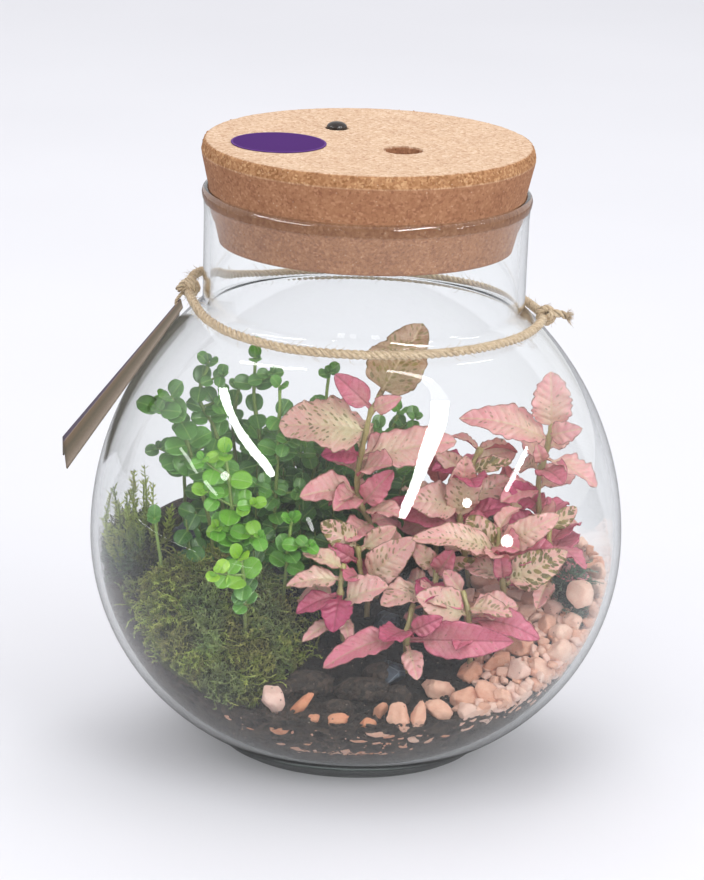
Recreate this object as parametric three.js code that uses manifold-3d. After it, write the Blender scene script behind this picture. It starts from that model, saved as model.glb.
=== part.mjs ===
// A planted glass terrarium: a round bowl with a straight neck, a cork lid, jute twine with a card
// tag, banked soil, gravel, rocks, moss, pink nerve plants and a round-leaved green creeper.
// Millimetres, +Z up. The origin is the middle of the bowl's flat foot.
import * as THREE from 'three';
import { mergeVertices } from 'three/addons/utils/BufferGeometryUtils.js';
import Module from 'manifold-3d';

const wasm = await Module();
wasm.setup();

// ---------------------------------------------------------------- driving dimensions
const GAP = 0.35; // air left between neighbouring pieces
const ROUND_SIDES = 28; // sides of everything turned on the bowl's axis

const BOWL = {
  widest: 100, // outer radius of the belly
  widestHeight: 83,
  shoulderArc: 117, // radius of the profile above the belly
  footArc: 86, // radius of the profile below it
  footRadius: 44,
  footBlend: 8, // height at which the foot's curve meets the lower arc
  wall: 2.6,
  base: 5, // thickness of the glass under the soil
  floorBlend: 4, // height above the base at which the floor's curve meets the wall
  neckRadius: 60,
  neckFillet: 5,
  rimRadius: 60.7,
  beadRadius: 61.3,
  beadHeight: 213,
  height: 215.3,
};

const LID = {
  bottom: 195.4,
  top: 233.4,
  bottomRadius: 54.2,
  widestRadius: 62,
  widestHeight: 229.1,
  topRadius: 61,
};
const RECESS = { x: 12.5, y: -14, radius: 7.2, depth: 9, sides: 10 };
const PLUG = { x: -12.2, y: 21.5, boreRadius: 4.3, radius: 3.8, depth: 10, dome: 2.5 };
const LABEL = { x: -33.2, y: -9.2, radius: 17.6, thickness: 0.4 };

const TWINE = { radius: 1.75, ring: 65.9, height: 168.9 };
const KNOT_LEFT = [-64.8, -1, 175.8];
const KNOT_RIGHT = [67.8, -5, 170.8];

const TAG = {
  ridgeTop: [-68.5, 0.5, 171.2],
  ridgeBottom: [-111.3, 0, 116.6],
  nearFlap: [2.8, -29.9, -0.5],
  farFlap: [-1.5, 27, -15],
  thickness: 0.8,
};

const LOWER_STEPS = 4; // flats of the profile below the belly
const UPPER_STEPS = 4; // flats of the profile above it
const FLATS = 1.9; // most that a flat of the turned glass stands inside its true curve

const SOIL = { front: 34, bank: 32, backBank: 8, edge: 75, skew: 0.1, lump: 1.1, sides: 21 };
const GRAVEL = { from: -26, to: 124, height: 38 }; // degrees from the front to the right; usual height
const NECK_FROM = 165; // above this height the glass is taken as the neck's straight tube
const LEAF_AIR = 1.3; // least air between a leaf and the glass

const PINK_FORM = { bow: 0.07, fold: 0.28, wave: 0.045, thickness: 0.8 };
const PINK_STEM_RADIUS = 1.5;
const SMALL_LEAF = 17; // pink leaves shorter than this have fewer waves in their edge
const GREEN_FORM = { bow: 0.05, fold: 0.16, wave: 0, thickness: 0.75, flat: true };
const GREEN_STEM_RADIUS = 0.9;
const PAIR_SPACING = 15; // height between a creeper's pairs of leaves
const BARE_FOOT = 17; // height of a creeper's stem without leaves
const CREEPER_TILT = 48; // degrees by which a creeper's pairs of leaves are tipped to the front

// ---------------------------------------------------------------- solids
const upAxis = new THREE.Vector3(0, 0, 1);
const rightAxis = new THREE.Vector3(1, 0, 0);
const vec = (point) => new THREE.Vector3(point[0], point[1], point[2]);

function seededRandom(seed) {
  let state = seed >>> 0;
  return () => {
    state = (state + 0x6d2b79f5) >>> 0;
    let mixed = Math.imul(state ^ (state >>> 15), 1 | state);
    mixed = (mixed + Math.imul(mixed ^ (mixed >>> 7), 61 | mixed)) ^ mixed;
    return ((mixed ^ (mixed >>> 14)) >>> 0) / 4294967296;
  };
}

function solidOf(geometry) {
  const bare = geometry.clone();
  bare.deleteAttribute('normal');
  bare.deleteAttribute('uv');
  const merged = mergeVertices(bare, 1e-4);
  const corners = [];
  for (let i = 0; i < merged.index.count; i += 3) {
    const [a, b, c] = [merged.index.getX(i), merged.index.getX(i + 1), merged.index.getX(i + 2)];
    if (a !== b && b !== c && c !== a) corners.push(a, b, c);
  }
  const build = (list) =>
    new wasm.Manifold(
      new wasm.Mesh({
        numProp: 3,
        vertProperties: new Float32Array(merged.attributes.position.array),
        triVerts: new Uint32Array(list),
      }),
    );
  const solid = build(corners);
  if (solid.volume() > 0) return solid;
  const turned = [];
  for (let i = 0; i < corners.length; i += 3) turned.push(corners[i], corners[i + 2], corners[i + 1]);
  return build(turned);
}

// The largest body of a solid: what a cut leaves loose beside it is dropped.
function mainBody(solid) {
  const bodies = solid.decompose();
  return bodies.reduce((best, body) => (body.volume() > best.volume() ? body : best), bodies[0]);
}

function geometryOf(solid) {
  const mesh = solid.getMesh();
  const geometry = new THREE.BufferGeometry();
  const positions = new Float32Array(mesh.numVert * 3);
  for (let i = 0; i < mesh.numVert; i += 1) {
    for (let k = 0; k < 3; k += 1) positions[i * 3 + k] = mesh.vertProperties[i * mesh.numProp + k];
  }
  geometry.setAttribute('position', new THREE.BufferAttribute(positions, 3));
  geometry.setIndex(new THREE.BufferAttribute(new Uint32Array(mesh.triVerts), 1));
  geometry.computeVertexNormals();
  return geometry;
}

function lathe(profile, sides = ROUND_SIDES) {
  const geometry = new THREE.LatheGeometry(profile.map(([x, y]) => new THREE.Vector2(x, y)), sides);
  geometry.rotateX(Math.PI / 2);
  return solidOf(geometry);
}

function circle(radius, sides) {
  const shape = new THREE.Shape();
  for (let i = 0; i < sides; i += 1) {
    const turn = (2 * Math.PI * i) / sides;
    if (i === 0) shape.moveTo(radius, 0);
    else shape.lineTo(radius * Math.cos(turn), radius * Math.sin(turn));
  }
  shape.closePath();
  return shape;
}

function curveOf(points) {
  return new THREE.CatmullRomCurve3(points.map(vec), false, 'catmullrom', 0.5);
}

function tube(points, radius, steps, sides) {
  const path = curveOf(points);
  const options = { steps, bevelEnabled: false, extrudePath: path };
  return solidOf(new THREE.ExtrudeGeometry(circle(radius, sides), options));
}

function cylinder(radius, low, high, x, y, sides) {
  const geometry = new THREE.CylinderGeometry(radius, radius, high - low, sides);
  geometry.rotateX(Math.PI / 2);
  geometry.translate(x, y, (low + high) / 2);
  return solidOf(geometry);
}

// A closed body from rings of equally many points, with a single point at each end.
function ringedBody(firstPoint, rings, lastPoint) {
  const sides = rings[0].length;
  const positions = [...firstPoint, ...rings.flat(2), ...lastPoint];
  const last = 1 + rings.length * sides;
  const index = [];
  const at = (ring, side) => 1 + ring * sides + (side % sides);
  for (let side = 0; side < sides; side += 1) {
    index.push(0, at(0, side + 1), at(0, side));
    index.push(last, at(rings.length - 1, side), at(rings.length - 1, side + 1));
    for (let ring = 0; ring + 1 < rings.length; ring += 1) {
      index.push(at(ring, side), at(ring, side + 1), at(ring + 1, side + 1));
      index.push(at(ring, side), at(ring + 1, side + 1), at(ring + 1, side));
    }
  }
  const geometry = new THREE.BufferGeometry();
  geometry.setAttribute('position', new THREE.BufferAttribute(new Float32Array(positions), 3));
  geometry.setIndex(index);
  return solidOf(geometry);
}

// An angular stone: a ball of flat faces, squeezed and knocked about by a seeded draw.
function stone(centre, size, seed, detail) {
  const random = seededRandom(seed);
  const geometry = new THREE.IcosahedronGeometry(1, detail);
  const bare = geometry.clone();
  bare.deleteAttribute('normal');
  bare.deleteAttribute('uv');
  const merged = mergeVertices(bare, 1e-4);
  const points = merged.attributes.position;
  for (let i = 0; i < points.count; i += 1) {
    const swell = 0.82 + 0.32 * random();
    const reach = size.map((side) => side * swell);
    points.setXYZ(i, points.getX(i) * reach[0], points.getY(i) * reach[1], points.getZ(i) * reach[2]);
  }
  merged.rotateX(random() * 0.7 - 0.35);
  merged.rotateZ(random() * 2 * Math.PI);
  merged.translate(...centre);
  return merged;
}

const finishes = {
  glass: { color: 0xdfe8e4, roughness: 0.03, metalness: 0, transparent: true, opacity: 0.3 },
  cork: { color: 0xc49a6e, roughness: 0.9, metalness: 0 },
  label: { color: 0x5f3d78, roughness: 0.5, metalness: 0 },
  rubber: { color: 0x2b2623, roughness: 0.6, metalness: 0 },
  jute: { color: 0xa98c66, roughness: 0.95, metalness: 0 },
  card: { color: 0x8a7866, roughness: 0.85, metalness: 0 },
  soil: { color: 0x4c443d, roughness: 1, metalness: 0 },
  gravel: { color: 0xd79a7b, roughness: 0.9, metalness: 0 },
  paleStone: { color: 0xd9b3a6, roughness: 0.85, metalness: 0 },
  rock: { color: 0x39434f, roughness: 0.7, metalness: 0 },
  moss: { color: 0x5d6b2c, roughness: 1, metalness: 0 },
  greyMoss: { color: 0x66765f, roughness: 1, metalness: 0 },
  pinkLeaf: { color: 0xdf8f8d, roughness: 0.55, metalness: 0 },
  greenLeaf: { color: 0x3f8f2f, roughness: 0.4, metalness: 0 },
};

const terrarium = new THREE.Group();

function addPiece(name, solid, finish) {
  const mesh = new THREE.Mesh(geometryOf(solid), new THREE.MeshStandardMaterial(finishes[finish]));
  mesh.name = name;
  terrarium.add(mesh);
}

// ---------------------------------------------------------------- glass bowl
// Radius of the bowl's outer surface shrunk by an inset, from the two arcs of its profile.
function bowlRadius(height, inset) {
  const arc = height > BOWL.widestHeight ? BOWL.shoulderArc : BOWL.footArc;
  const rise = height - BOWL.widestHeight;
  return BOWL.widest - arc + Math.sqrt((arc - inset) ** 2 - rise ** 2);
}

// The profile of the belly from a low height to the neck's fillet, in even turns of its arcs.
function bellyProfile(low, inset, lowerSteps, upperSteps) {
  const points = [];
  const lowerArc = BOWL.footArc - inset;
  const lowTurn = Math.asin((low - BOWL.widestHeight) / lowerArc);
  for (let i = 0; i < lowerSteps; i += 1) {
    const turn = lowTurn * (1 - i / lowerSteps);
    const radius = BOWL.widest - BOWL.footArc + lowerArc * Math.cos(turn);
    points.push([radius, BOWL.widestHeight + lowerArc * Math.sin(turn)]);
  }
  // The fillet's circle touches the neck's side and the shoulder's arc.
  const neck = BOWL.neckRadius - inset;
  const filletRadius = BOWL.neckFillet + inset;
  const upperArc = BOWL.shoulderArc - inset;
  const arcX = BOWL.widest - BOWL.shoulderArc;
  const filletX = neck + filletRadius;
  const filletRise = Math.sqrt((upperArc + filletRadius) ** 2 - (filletX - arcX) ** 2);
  const topTurn = Math.atan2(filletRise, filletX - arcX);
  for (let i = 0; i <= upperSteps; i += 1) {
    const turn = (topTurn * i) / upperSteps;
    points.push([arcX + upperArc * Math.cos(turn), BOWL.widestHeight + upperArc * Math.sin(turn)]);
  }
  const filletHeight = BOWL.widestHeight + filletRise;
  const middle = topTurn / 2 + Math.PI;
  points.push([filletX + filletRadius * Math.cos(middle), filletHeight + filletRadius * Math.sin(middle)]);
  points.push([neck, filletHeight]);
  return points;
}

const outerBelly = bellyProfile(BOWL.footBlend, 0, LOWER_STEPS, UPPER_STEPS);
const innerBelly = bellyProfile(BOWL.base + BOWL.floorBlend, BOWL.wall, LOWER_STEPS, UPPER_STEPS);
const footEnd = outerBelly[0];
const floorEnd = innerBelly[0];
const floorCurve = [
  [floorEnd[0] - 6, 1.2],
  [floorEnd[0] - 14, 0],
]; // radius, and height above the base
const glassProfile = [
  [0, 0],
  [BOWL.footRadius, 0],
  [(BOWL.footRadius + footEnd[0]) / 2 + 1, footEnd[1] * 0.32],
  ...outerBelly,
  [BOWL.rimRadius, BOWL.beadHeight - 2.4],
  [BOWL.beadRadius, BOWL.beadHeight],
  [BOWL.rimRadius, BOWL.height - 0.6],
  [BOWL.rimRadius - 0.6, BOWL.height],
  [BOWL.rimRadius - 1.2, BOWL.height - 0.2],
  [BOWL.rimRadius - 2.1, BOWL.beadHeight - 1],
  ...innerBelly.reverse(),
  ...floorCurve.map(([radius, rise]) => [radius, BOWL.base + rise]),
  [0, BOWL.base],
];
addPiece('glass_bowl', lathe(glassProfile), 'glass');

// The room inside the bowl, less the air kept to its wall.
const room = lathe([
  [0, BOWL.base + GAP],
  [floorCurve[1][0], BOWL.base + GAP],
  [floorCurve[0][0] - GAP, BOWL.base + floorCurve[0][1] + GAP],
  ...bellyProfile(BOWL.base + BOWL.floorBlend + GAP, BOWL.wall + GAP, LOWER_STEPS, UPPER_STEPS),
  [0, NECK_FROM + 8],
]);

// ---------------------------------------------------------------- lid, label and plug
const recessRandom = seededRandom(11);
const recessRing = (height) =>
  Array.from({ length: RECESS.sides }, (_, i) => {
    const turn = (2 * Math.PI * i) / RECESS.sides;
    const radius = RECESS.radius * (0.93 + 0.12 * recessRandom());
    return [RECESS.x + radius * Math.cos(turn), RECESS.y + radius * Math.sin(turn), height];
  });
const recess = ringedBody(
  [RECESS.x, RECESS.y, LID.top - RECESS.depth],
  [LID.top - RECESS.depth + 0.8, LID.top - RECESS.depth / 2, LID.top + 1].map(recessRing),
  [RECESS.x, RECESS.y, LID.top + 1],
);
const bore = cylinder(PLUG.boreRadius, LID.top - PLUG.depth - GAP, LID.top + 1, PLUG.x, PLUG.y, 10);
const lid = lathe([
  [0, LID.bottom],
  [LID.bottomRadius, LID.bottom],
  [LID.widestRadius, LID.widestHeight],
  [LID.topRadius, LID.top - 0.5],
  [LID.topRadius - 0.5, LID.top],
  [0, LID.top],
]);
addPiece('cork_lid', lid.subtract(recess).subtract(bore), 'cork');

const labelLow = LID.top + 0.1;
const labelDisc = cylinder(LABEL.radius, labelLow, labelLow + LABEL.thickness, LABEL.x, LABEL.y, 22);
addPiece('lid_label', labelDisc, 'label');

const plugProfile = [
  [0, LID.top - PLUG.depth],
  [PLUG.radius - 0.4, LID.top - PLUG.depth],
  [PLUG.radius, LID.top - PLUG.depth + 0.4],
  [PLUG.radius, LID.top + 0.6],
  [PLUG.radius * 0.8, LID.top + PLUG.dome * 0.75],
  [PLUG.radius * 0.4, LID.top + PLUG.dome * 0.97],
  [0, LID.top + PLUG.dome],
];
addPiece('vent_plug', lathe(plugProfile, 10).translate([PLUG.x, PLUG.y, 0]), 'rubber');

// ---------------------------------------------------------------- twine and tag
// The loop lies on the shoulder in front, at the right and behind, and is drawn up to the left knot.
function ringPoint(degreesFromFront, height, extra) {
  const turn = (degreesFromFront * Math.PI) / 180;
  const radius = TWINE.ring + extra;
  return [radius * Math.sin(turn), -radius * Math.cos(turn), height];
}
const twineRoute = [
  [KNOT_LEFT[0] - 0.5, KNOT_LEFT[1] - 1, KNOT_LEFT[2] - 1],
  ringPoint(-76, 173.2, -1.6),
  ringPoint(-62, 171.2, -1.2),
  ringPoint(-45, 169.9, -0.4),
  ...[-25, -5, 15, 35, 55, 72].map((degrees) => ringPoint(degrees, TWINE.height, 0)),
  [KNOT_RIGHT[0] - 0.8, KNOT_RIGHT[1], KNOT_RIGHT[2] - 0.6],
  ...[100, 120, 140, 160, 180, 200].map((degrees) => ringPoint(degrees, TWINE.height + 0.1, 0)),
  ringPoint(220, 170.4, -0.4),
  ringPoint(238, 173.6, -1.8),
  ringPoint(252, 177.6, -3.2),
  ringPoint(263, 178.6, -1.9),
  [KNOT_LEFT[0] - 0.6, KNOT_LEFT[1] + 1.2, KNOT_LEFT[2] + 0.8],
];

// A knot: a lumpy ball of the twine's turns.
function knot(centre, size, seed) {
  return solidOf(stone(centre, [size, size * 0.86, size * 0.9], seed, 1));
}

const frayedEnd = tube(
  [
    [KNOT_RIGHT[0] + 0.5, KNOT_RIGHT[1] - 1, KNOT_RIGHT[2] + 0.4],
    [KNOT_RIGHT[0] + 4.5, KNOT_RIGHT[1] - 1.4, KNOT_RIGHT[2] + 1.2],
    [KNOT_RIGHT[0] + 9.2, KNOT_RIGHT[1] - 1, KNOT_RIGHT[2] - 0.2],
  ],
  TWINE.radius * 1.05,
  4,
  6,
);
const shortEnd = tube(
  [
    [KNOT_LEFT[0] - 0.6, KNOT_LEFT[1] - 0.6, KNOT_LEFT[2] + 0.4],
    [KNOT_LEFT[0] - 2.6, KNOT_LEFT[1] - 2.4, KNOT_LEFT[2] + 1.6],
    [KNOT_LEFT[0] - 4.4, KNOT_LEFT[1] - 3.2, KNOT_LEFT[2] - 0.4],
  ],
  TWINE.radius * 0.9,
  3,
  6,
);
const twine = tube(twineRoute, TWINE.radius, 42, 5)
  .add(knot(KNOT_LEFT, 4, 71))
  .add(knot(KNOT_RIGHT, 4.2, 72))
  .add(frayedEnd)
  .add(shortEnd);

// The folded card: two flaps that meet in a ridge, with a hole by its top that the twine's tie fills.
function cardTag() {
  const top = vec(TAG.ridgeTop);
  const along = vec(TAG.ridgeBottom).sub(top);
  const section = (start) => {
    const near = vec(TAG.nearFlap);
    const far = vec(TAG.farFlap);
    const inward = new THREE.Vector3().crossVectors(along, near).setLength(-TAG.thickness);
    const inwardFar = new THREE.Vector3().crossVectors(far, along).setLength(-TAG.thickness);
    const ridgeInner = inward.clone().add(inwardFar).multiplyScalar(0.75);
    return [
      start.clone(),
      start.clone().add(near),
      start.clone().add(near).add(inward),
      start.clone().add(ridgeInner),
      start.clone().add(far).add(inwardFar),
      start.clone().add(far),
    ];
  };
  const positions = [];
  for (const t of [0, 1]) {
    section(top.clone().addScaledVector(along, t)).forEach((point) => positions.push(...point));
  }
  const sides = 6;
  const index = [];
  for (let side = 0; side < sides; side += 1) {
    const [a, b] = [side, (side + 1) % sides];
    index.push(a, b, b + sides, a, b + sides, a + sides);
  }
  const cap = [
    [0, 1, 2],
    [0, 2, 3],
    [0, 3, 4],
    [0, 4, 5],
  ];
  for (const [a, b, c] of cap) {
    index.push(a, c, b);
    index.push(sides + a, sides + b, sides + c);
  }
  const geometry = new THREE.BufferGeometry();
  geometry.setAttribute('position', new THREE.BufferAttribute(new Float32Array(positions), 3));
  geometry.setIndex(index);
  return solidOf(geometry);
}
// The tie runs from the knot through the near flap's hole and back.
const tieRoute = [
  [KNOT_LEFT[0] - 1.6, KNOT_LEFT[1] - 1.2, KNOT_LEFT[2] - 0.6],
  [-70.2, -4.2, 172.4],
  [-71.4, -4.6, 167.8],
  [-69.2, -4.4, 165.2],
];
const tie = tube(tieRoute, 0.8, 6, 5);
const tieHole = tube(tieRoute, 0.8 + GAP, 6, 5);
addPiece('jute_twine', twine.add(tie), 'jute');
const tagSolid = cardTag().subtract(tieHole).subtract(knot(KNOT_LEFT, 4 + 2 * GAP, 71));
addPiece('card_tag', mainBody(tagSolid), 'card');

// ---------------------------------------------------------------- soil
const smooth = (t) => {
  const clamped = Math.min(1, Math.max(0, t));
  return clamped * clamped * (3 - 2 * clamped);
};

// Height of the soil: low along the front glass, banked up to the back and the left.
function soilHeight(x, y) {
  const reach = y - SOIL.skew * x;
  const frontBank = SOIL.bank * smooth((reach + SOIL.edge) / SOIL.edge);
  const backBank = SOIL.backBank * smooth(reach / SOIL.edge);
  const lumps = SOIL.lump * Math.sin(0.11 * x + 0.6) * Math.sin(0.13 * y + 1.1);
  return SOIL.front + frontBank + backBank + lumps;
}

// The soil's body, or with a raise and a skirt the room that what lies on it keeps clear of.
function soilBody(raise, skirt) {
  const floor = BOWL.base + BOWL.floorBlend;
  const wallRadius = (height) => bowlRadius(Math.max(height, floor), BOWL.wall + GAP + FLATS);
  const turnOf = (i) => (2 * Math.PI * i) / SOIL.sides;
  const ringAt = (make) => Array.from({ length: SOIL.sides }, (_, i) => make(turnOf(i)));
  const around = (turn, radius, height) => [radius * Math.sin(turn), -radius * Math.cos(turn), height];
  const edgeHeight = (turn) => {
    let height = 50;
    for (let i = 0; i < 6; i += 1) {
      const [x, y] = around(turn, wallRadius(height), 0);
      height = soilHeight(x, y);
    }
    return height;
  };
  const floorHeight = BOWL.base + GAP + 0.1;
  const rings = [ringAt((turn) => around(turn, floorEnd[0] - 15, floorHeight))];
  for (const part of [0, 0.3, 0.65]) {
    rings.push(
      ringAt((turn) => {
        const low = floor + 0.6;
        const height = low + (edgeHeight(turn) - low) * part;
        return around(turn, wallRadius(height) + skirt, height);
      }),
    );
  }
  if (skirt > 0) {
    rings.push(
      ringAt((turn) => {
        const height = edgeHeight(turn);
        return around(turn, wallRadius(height) + skirt, height + raise);
      }),
    );
  }
  for (const part of [1, 0.74, 0.46, 0.2]) {
    rings.push(
      ringAt((turn) => {
        const [x, y] = around(turn, wallRadius(edgeHeight(turn)) * part, 0);
        return [x, y, soilHeight(x, y) + raise];
      }),
    );
  }
  return ringedBody([0, 0, floorHeight], rings, [0, 0, soilHeight(0, 0) + raise]);
}
let soil = soilBody(0, 0);
const raisedSoil = soilBody(GAP, 6); // what lies on the soil is cut to this

// ---------------------------------------------------------------- stones and rocks
const rocks = [
  { name: 'dark_rock_left', place: [-65, 0], lift: 8, size: [6.2, 5.5, 10.5], seed: 21 },
  { name: 'dark_rock_middle', place: [12, -30], lift: 3, size: [7, 6, 7], seed: 22 },
  { name: 'dark_rock_front', place: [14, -51], lift: 2, size: [6.5, 5, 5], seed: 23 },
];
const looseStones = [
  { name: 'front_stone', place: [-28, -69.5], lift: 3.4, size: [5.6, 4.4, 5.4], seed: 31 },
  { name: 'side_stone', place: [84, -27], lift: 17.5, size: [5.5, 4.5, 6], seed: 32 },
];
const settled = [];
function placeStone({ name, place, lift, size, seed }, finish) {
  const centre = [place[0], place[1], soilHeight(place[0], place[1]) + lift];
  const solid = solidOf(stone(centre, size, seed, 1));
  const around = solidOf(stone(centre, size.map((side) => side + GAP * 1.3), seed, 1));
  settled.push({ name, solid, around, finish });
}
for (const rock of rocks) placeStone(rock, 'rock');
for (const loose of looseStones) placeStone(loose, loose.name === 'front_stone' ? 'paleStone' : 'gravel');

// ---------------------------------------------------------------- gravel
// A bank of stones at the right that thins to a single row along the front glass.
function gravelBank(degrees) {
  const fullness = smooth((degrees - 28) / 40) * (1 - smooth((degrees - 96) / 30));
  const sinking = 1 - 0.6 * smooth((degrees - 55) / 25); // lower towards the side
  return { width: 7 + 33 * fullness, depth: 2.2 + 10 * fullness * sinking };
}
function gravelBed() {
  const rings = [];
  const steps = 9;
  const pastWall = BOWL.wall - 4; // the bed runs into the glass before it is cut to the room
  for (let i = 0; i <= steps; i += 1) {
    const degrees = GRAVEL.from + 2 + ((GRAVEL.to - GRAVEL.from - 4) * i) / steps;
    const turn = (degrees * Math.PI) / 180;
    const { width, depth } = gravelBank(degrees);
    const around = (radius, above) => {
      const [x, y] = [radius * Math.sin(turn), -radius * Math.cos(turn)];
      return [x, y, soilHeight(x, y) + above];
    };
    const edge = bowlRadius(GRAVEL.height + depth, pastWall);
    rings.push([
      around(edge, -6),
      around(edge, depth + 2.5),
      around(edge - width * 0.5, depth),
      around(edge - width - 4, 0.4),
      around(edge - width - 4, -6),
    ]);
  }
  const endPoint = (degrees) => {
    const turn = (degrees * Math.PI) / 180;
    const radius = bowlRadius(GRAVEL.height, BOWL.wall) - 5;
    const [x, y] = [radius * Math.sin(turn), -radius * Math.cos(turn)];
    return [x, y, soilHeight(x, y) - 2];
  };
  return ringedBody(endPoint(GRAVEL.from), rings, endPoint(GRAVEL.to));
}
function gravelStones() {
  const random = seededRandom(41);
  const stones = [];
  const rowOf = (count, from, to, inset) => {
    for (let i = 0; i < count; i += 1) {
      const degrees = from + ((to - from) * (i + 0.35 * (random() - 0.5))) / (count - 1);
      const turn = (degrees * Math.PI) / 180;
      const { width, depth } = gravelBank(degrees);
      const across = inset * width;
      const size = 3.4 + 2 * random();
      const guess = bowlRadius(GRAVEL.height - 2 + depth, BOWL.wall) - size * 0.9 - across;
      const [x, y] = [guess * Math.sin(turn), -guess * Math.cos(turn)];
      const rise = depth * (1 - 0.85 * inset) + size * 0.35;
      const centre = [x, y, soilHeight(x, y) + rise];
      stones.push(solidOf(stone(centre, [size * 1.2, size * 0.9, size * 0.95], 500 + stones.length, 0)));
    }
  };
  rowOf(16, -22, 116, 0.04);
  rowOf(6, 50, 108, 0.34);
  rowOf(5, 54, 104, 0.62);
  rowOf(4, 58, 96, 0.9);
  return stones;
}
let gravel = gravelStones().reduce((body, piece) => body.add(piece), gravelBed());
gravel = gravel.intersect(room).subtract(raisedSoil);

// ---------------------------------------------------------------- moss cushions
const cushions = [
  { name: 'moss_front', at: [-50, -36], reach: [27, 33], turn: 0.3, height: 11, sides: 12, seed: 51 },
  { name: 'moss_left', at: [-82, 2], reach: [14, 22], turn: 0.1, height: 13, sides: 10, seed: 52 },
  { name: 'moss_right', at: [80, -14], reach: [6, 10], turn: 0.1, height: 14, sides: 10, seed: 53 },
  { name: 'moss_back', at: [-8, 70], reach: [36, 15], turn: 0.08, height: 9, sides: 11, seed: 54 },
];
function mossCushion({ at, reach, turn, height, sides, seed }) {
  const random = seededRandom(seed);
  const ringOf = (part, rise) =>
    Array.from({ length: sides }, (_, i) => {
      const angle = (2 * Math.PI * i) / sides;
      const wobble = 1 + 0.1 * (random() - 0.5);
      const u = reach[0] * part * wobble * Math.cos(angle);
      const v = reach[1] * part * wobble * Math.sin(angle);
      const x = at[0] + u * Math.cos(turn) - v * Math.sin(turn);
      const y = at[1] + u * Math.sin(turn) + v * Math.cos(turn);
      return [x, y, soilHeight(x, y) + rise * (1 + 0.22 * (random() - 0.5))];
    });
  const rings = [ringOf(0.9, -5), ringOf(1, height * 0.3), ringOf(0.78, height * 0.8), ringOf(0.42, height)];
  const middle = soilHeight(at[0], at[1]);
  return ringedBody([at[0], at[1], middle - 6], rings, [at[0], at[1], middle + height]);
}
const mosses = cushions.map((cushion) => ({
  ...cushion,
  solid: mossCushion(cushion).intersect(room).subtract(raisedSoil),
}));

for (const piece of settled) {
  soil = soil.subtract(piece.around);
  gravel = gravel.subtract(piece.around);
  for (const moss of mosses) moss.solid = moss.solid.subtract(piece.around);
}
// The room a cushion takes from its neighbours.
function aroundCushion(name) {
  const cushion = cushions.find((other) => other.name === name);
  const reach = cushion.reach.map((side) => side + 1.5);
  return mossCushion({ ...cushion, reach, height: cushion.height + 1.5 });
}
gravel = gravel.subtract(aroundCushion('moss_right')).subtract(aroundCushion('moss_front'));
const mossLeft = mosses.find((moss) => moss.name === 'moss_left');
mossLeft.solid = mossLeft.solid.subtract(aroundCushion('moss_front'));

// ---------------------------------------------------------------- leaves
const FACES = {
  up: [0, 0, 1],
  front: [0, -1, 0.35],
  lift: [0, -0.7, 0.8],
  right: [0.7, -0.5, 0.6],
  back: [0, 0.8, 0.6],
};

function leafFrame(base, tip, face) {
  const along = tip.clone().sub(base);
  const length = along.length();
  along.normalize();
  const side = new THREE.Vector3().crossVectors(along, face).normalize();
  const normal = new THREE.Vector3().crossVectors(side, along);
  return { base, along, side, normal, length };
}

// A blade of even thickness over a bent midrib, split into the same triangles above and below.
// A small flat blade leaves its midrib out and spans from edge to edge.
function bladeSolid(frame, outline, { width, bow, fold, wave, thickness, flat = false }) {
  const rows = outline.map(([t, spread], i) => {
    const rise = bow * frame.length * Math.sin(Math.PI * t);
    const middle = frame.base.clone().addScaledVector(frame.along, frame.length * t);
    middle.addScaledVector(frame.normal, rise);
    if (spread === 0) return [middle];
    const half = (width / 2) * spread;
    const edge = (direction) => {
      const ripple = wave * width * direction * (i % 2 === 0 ? 1 : -1);
      const point = middle.clone().addScaledVector(frame.side, direction * half);
      return point.addScaledVector(frame.normal, fold * half + ripple);
    };
    return flat ? [edge(-1), edge(1)] : [edge(-1), middle, edge(1)];
  });
  const upper = rows.flat();
  const start = [];
  rows.reduce((count, row, i) => {
    start[i] = count;
    return count + row.length;
  }, 0);
  const faces = [];
  for (let i = 0; i + 1 < rows.length; i += 1) {
    const [a, b] = [start[i], start[i + 1]];
    const [across, acrossNext] = [rows[i].length - 1, rows[i + 1].length - 1];
    for (let k = 0; k < Math.max(across, acrossNext); k += 1) {
      if (across === 0) faces.push([a, b + k + 1, b + k]);
      else if (acrossNext === 0) faces.push([a + k, a + k + 1, b]);
      else faces.push([a + k, a + k + 1, b + k + 1], [a + k, b + k + 1, b + k]);
    }
  }
  const last = rows.length - 1;
  const leftEdge = rows.slice(1, last).map((_, i) => start[i + 1]);
  const rightEdge = rows.slice(1, last).map((row, i) => start[i + 1] + row.length - 1);
  const rim = [start[0], ...rightEdge, start[last], ...leftEdge.reverse()];
  const count = upper.length;
  const index = [];
  for (const [a, b, c] of faces) {
    index.push(a, b, c);
    index.push(count + a, count + c, count + b);
  }
  rim.forEach((a, i) => {
    const b = rim[(i + 1) % rim.length];
    index.push(a, count + a, count + b, a, count + b, b);
  });
  const positions = [];
  for (const offset of [thickness / 2, -thickness / 2]) {
    for (const point of upper) {
      const moved = point.clone().addScaledVector(frame.normal, offset);
      positions.push(moved.x, moved.y, moved.z);
    }
  }
  const geometry = new THREE.BufferGeometry();
  geometry.setAttribute('position', new THREE.BufferAttribute(new Float32Array(positions), 3));
  geometry.setIndex(index);
  return solidOf(geometry);
}

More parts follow.
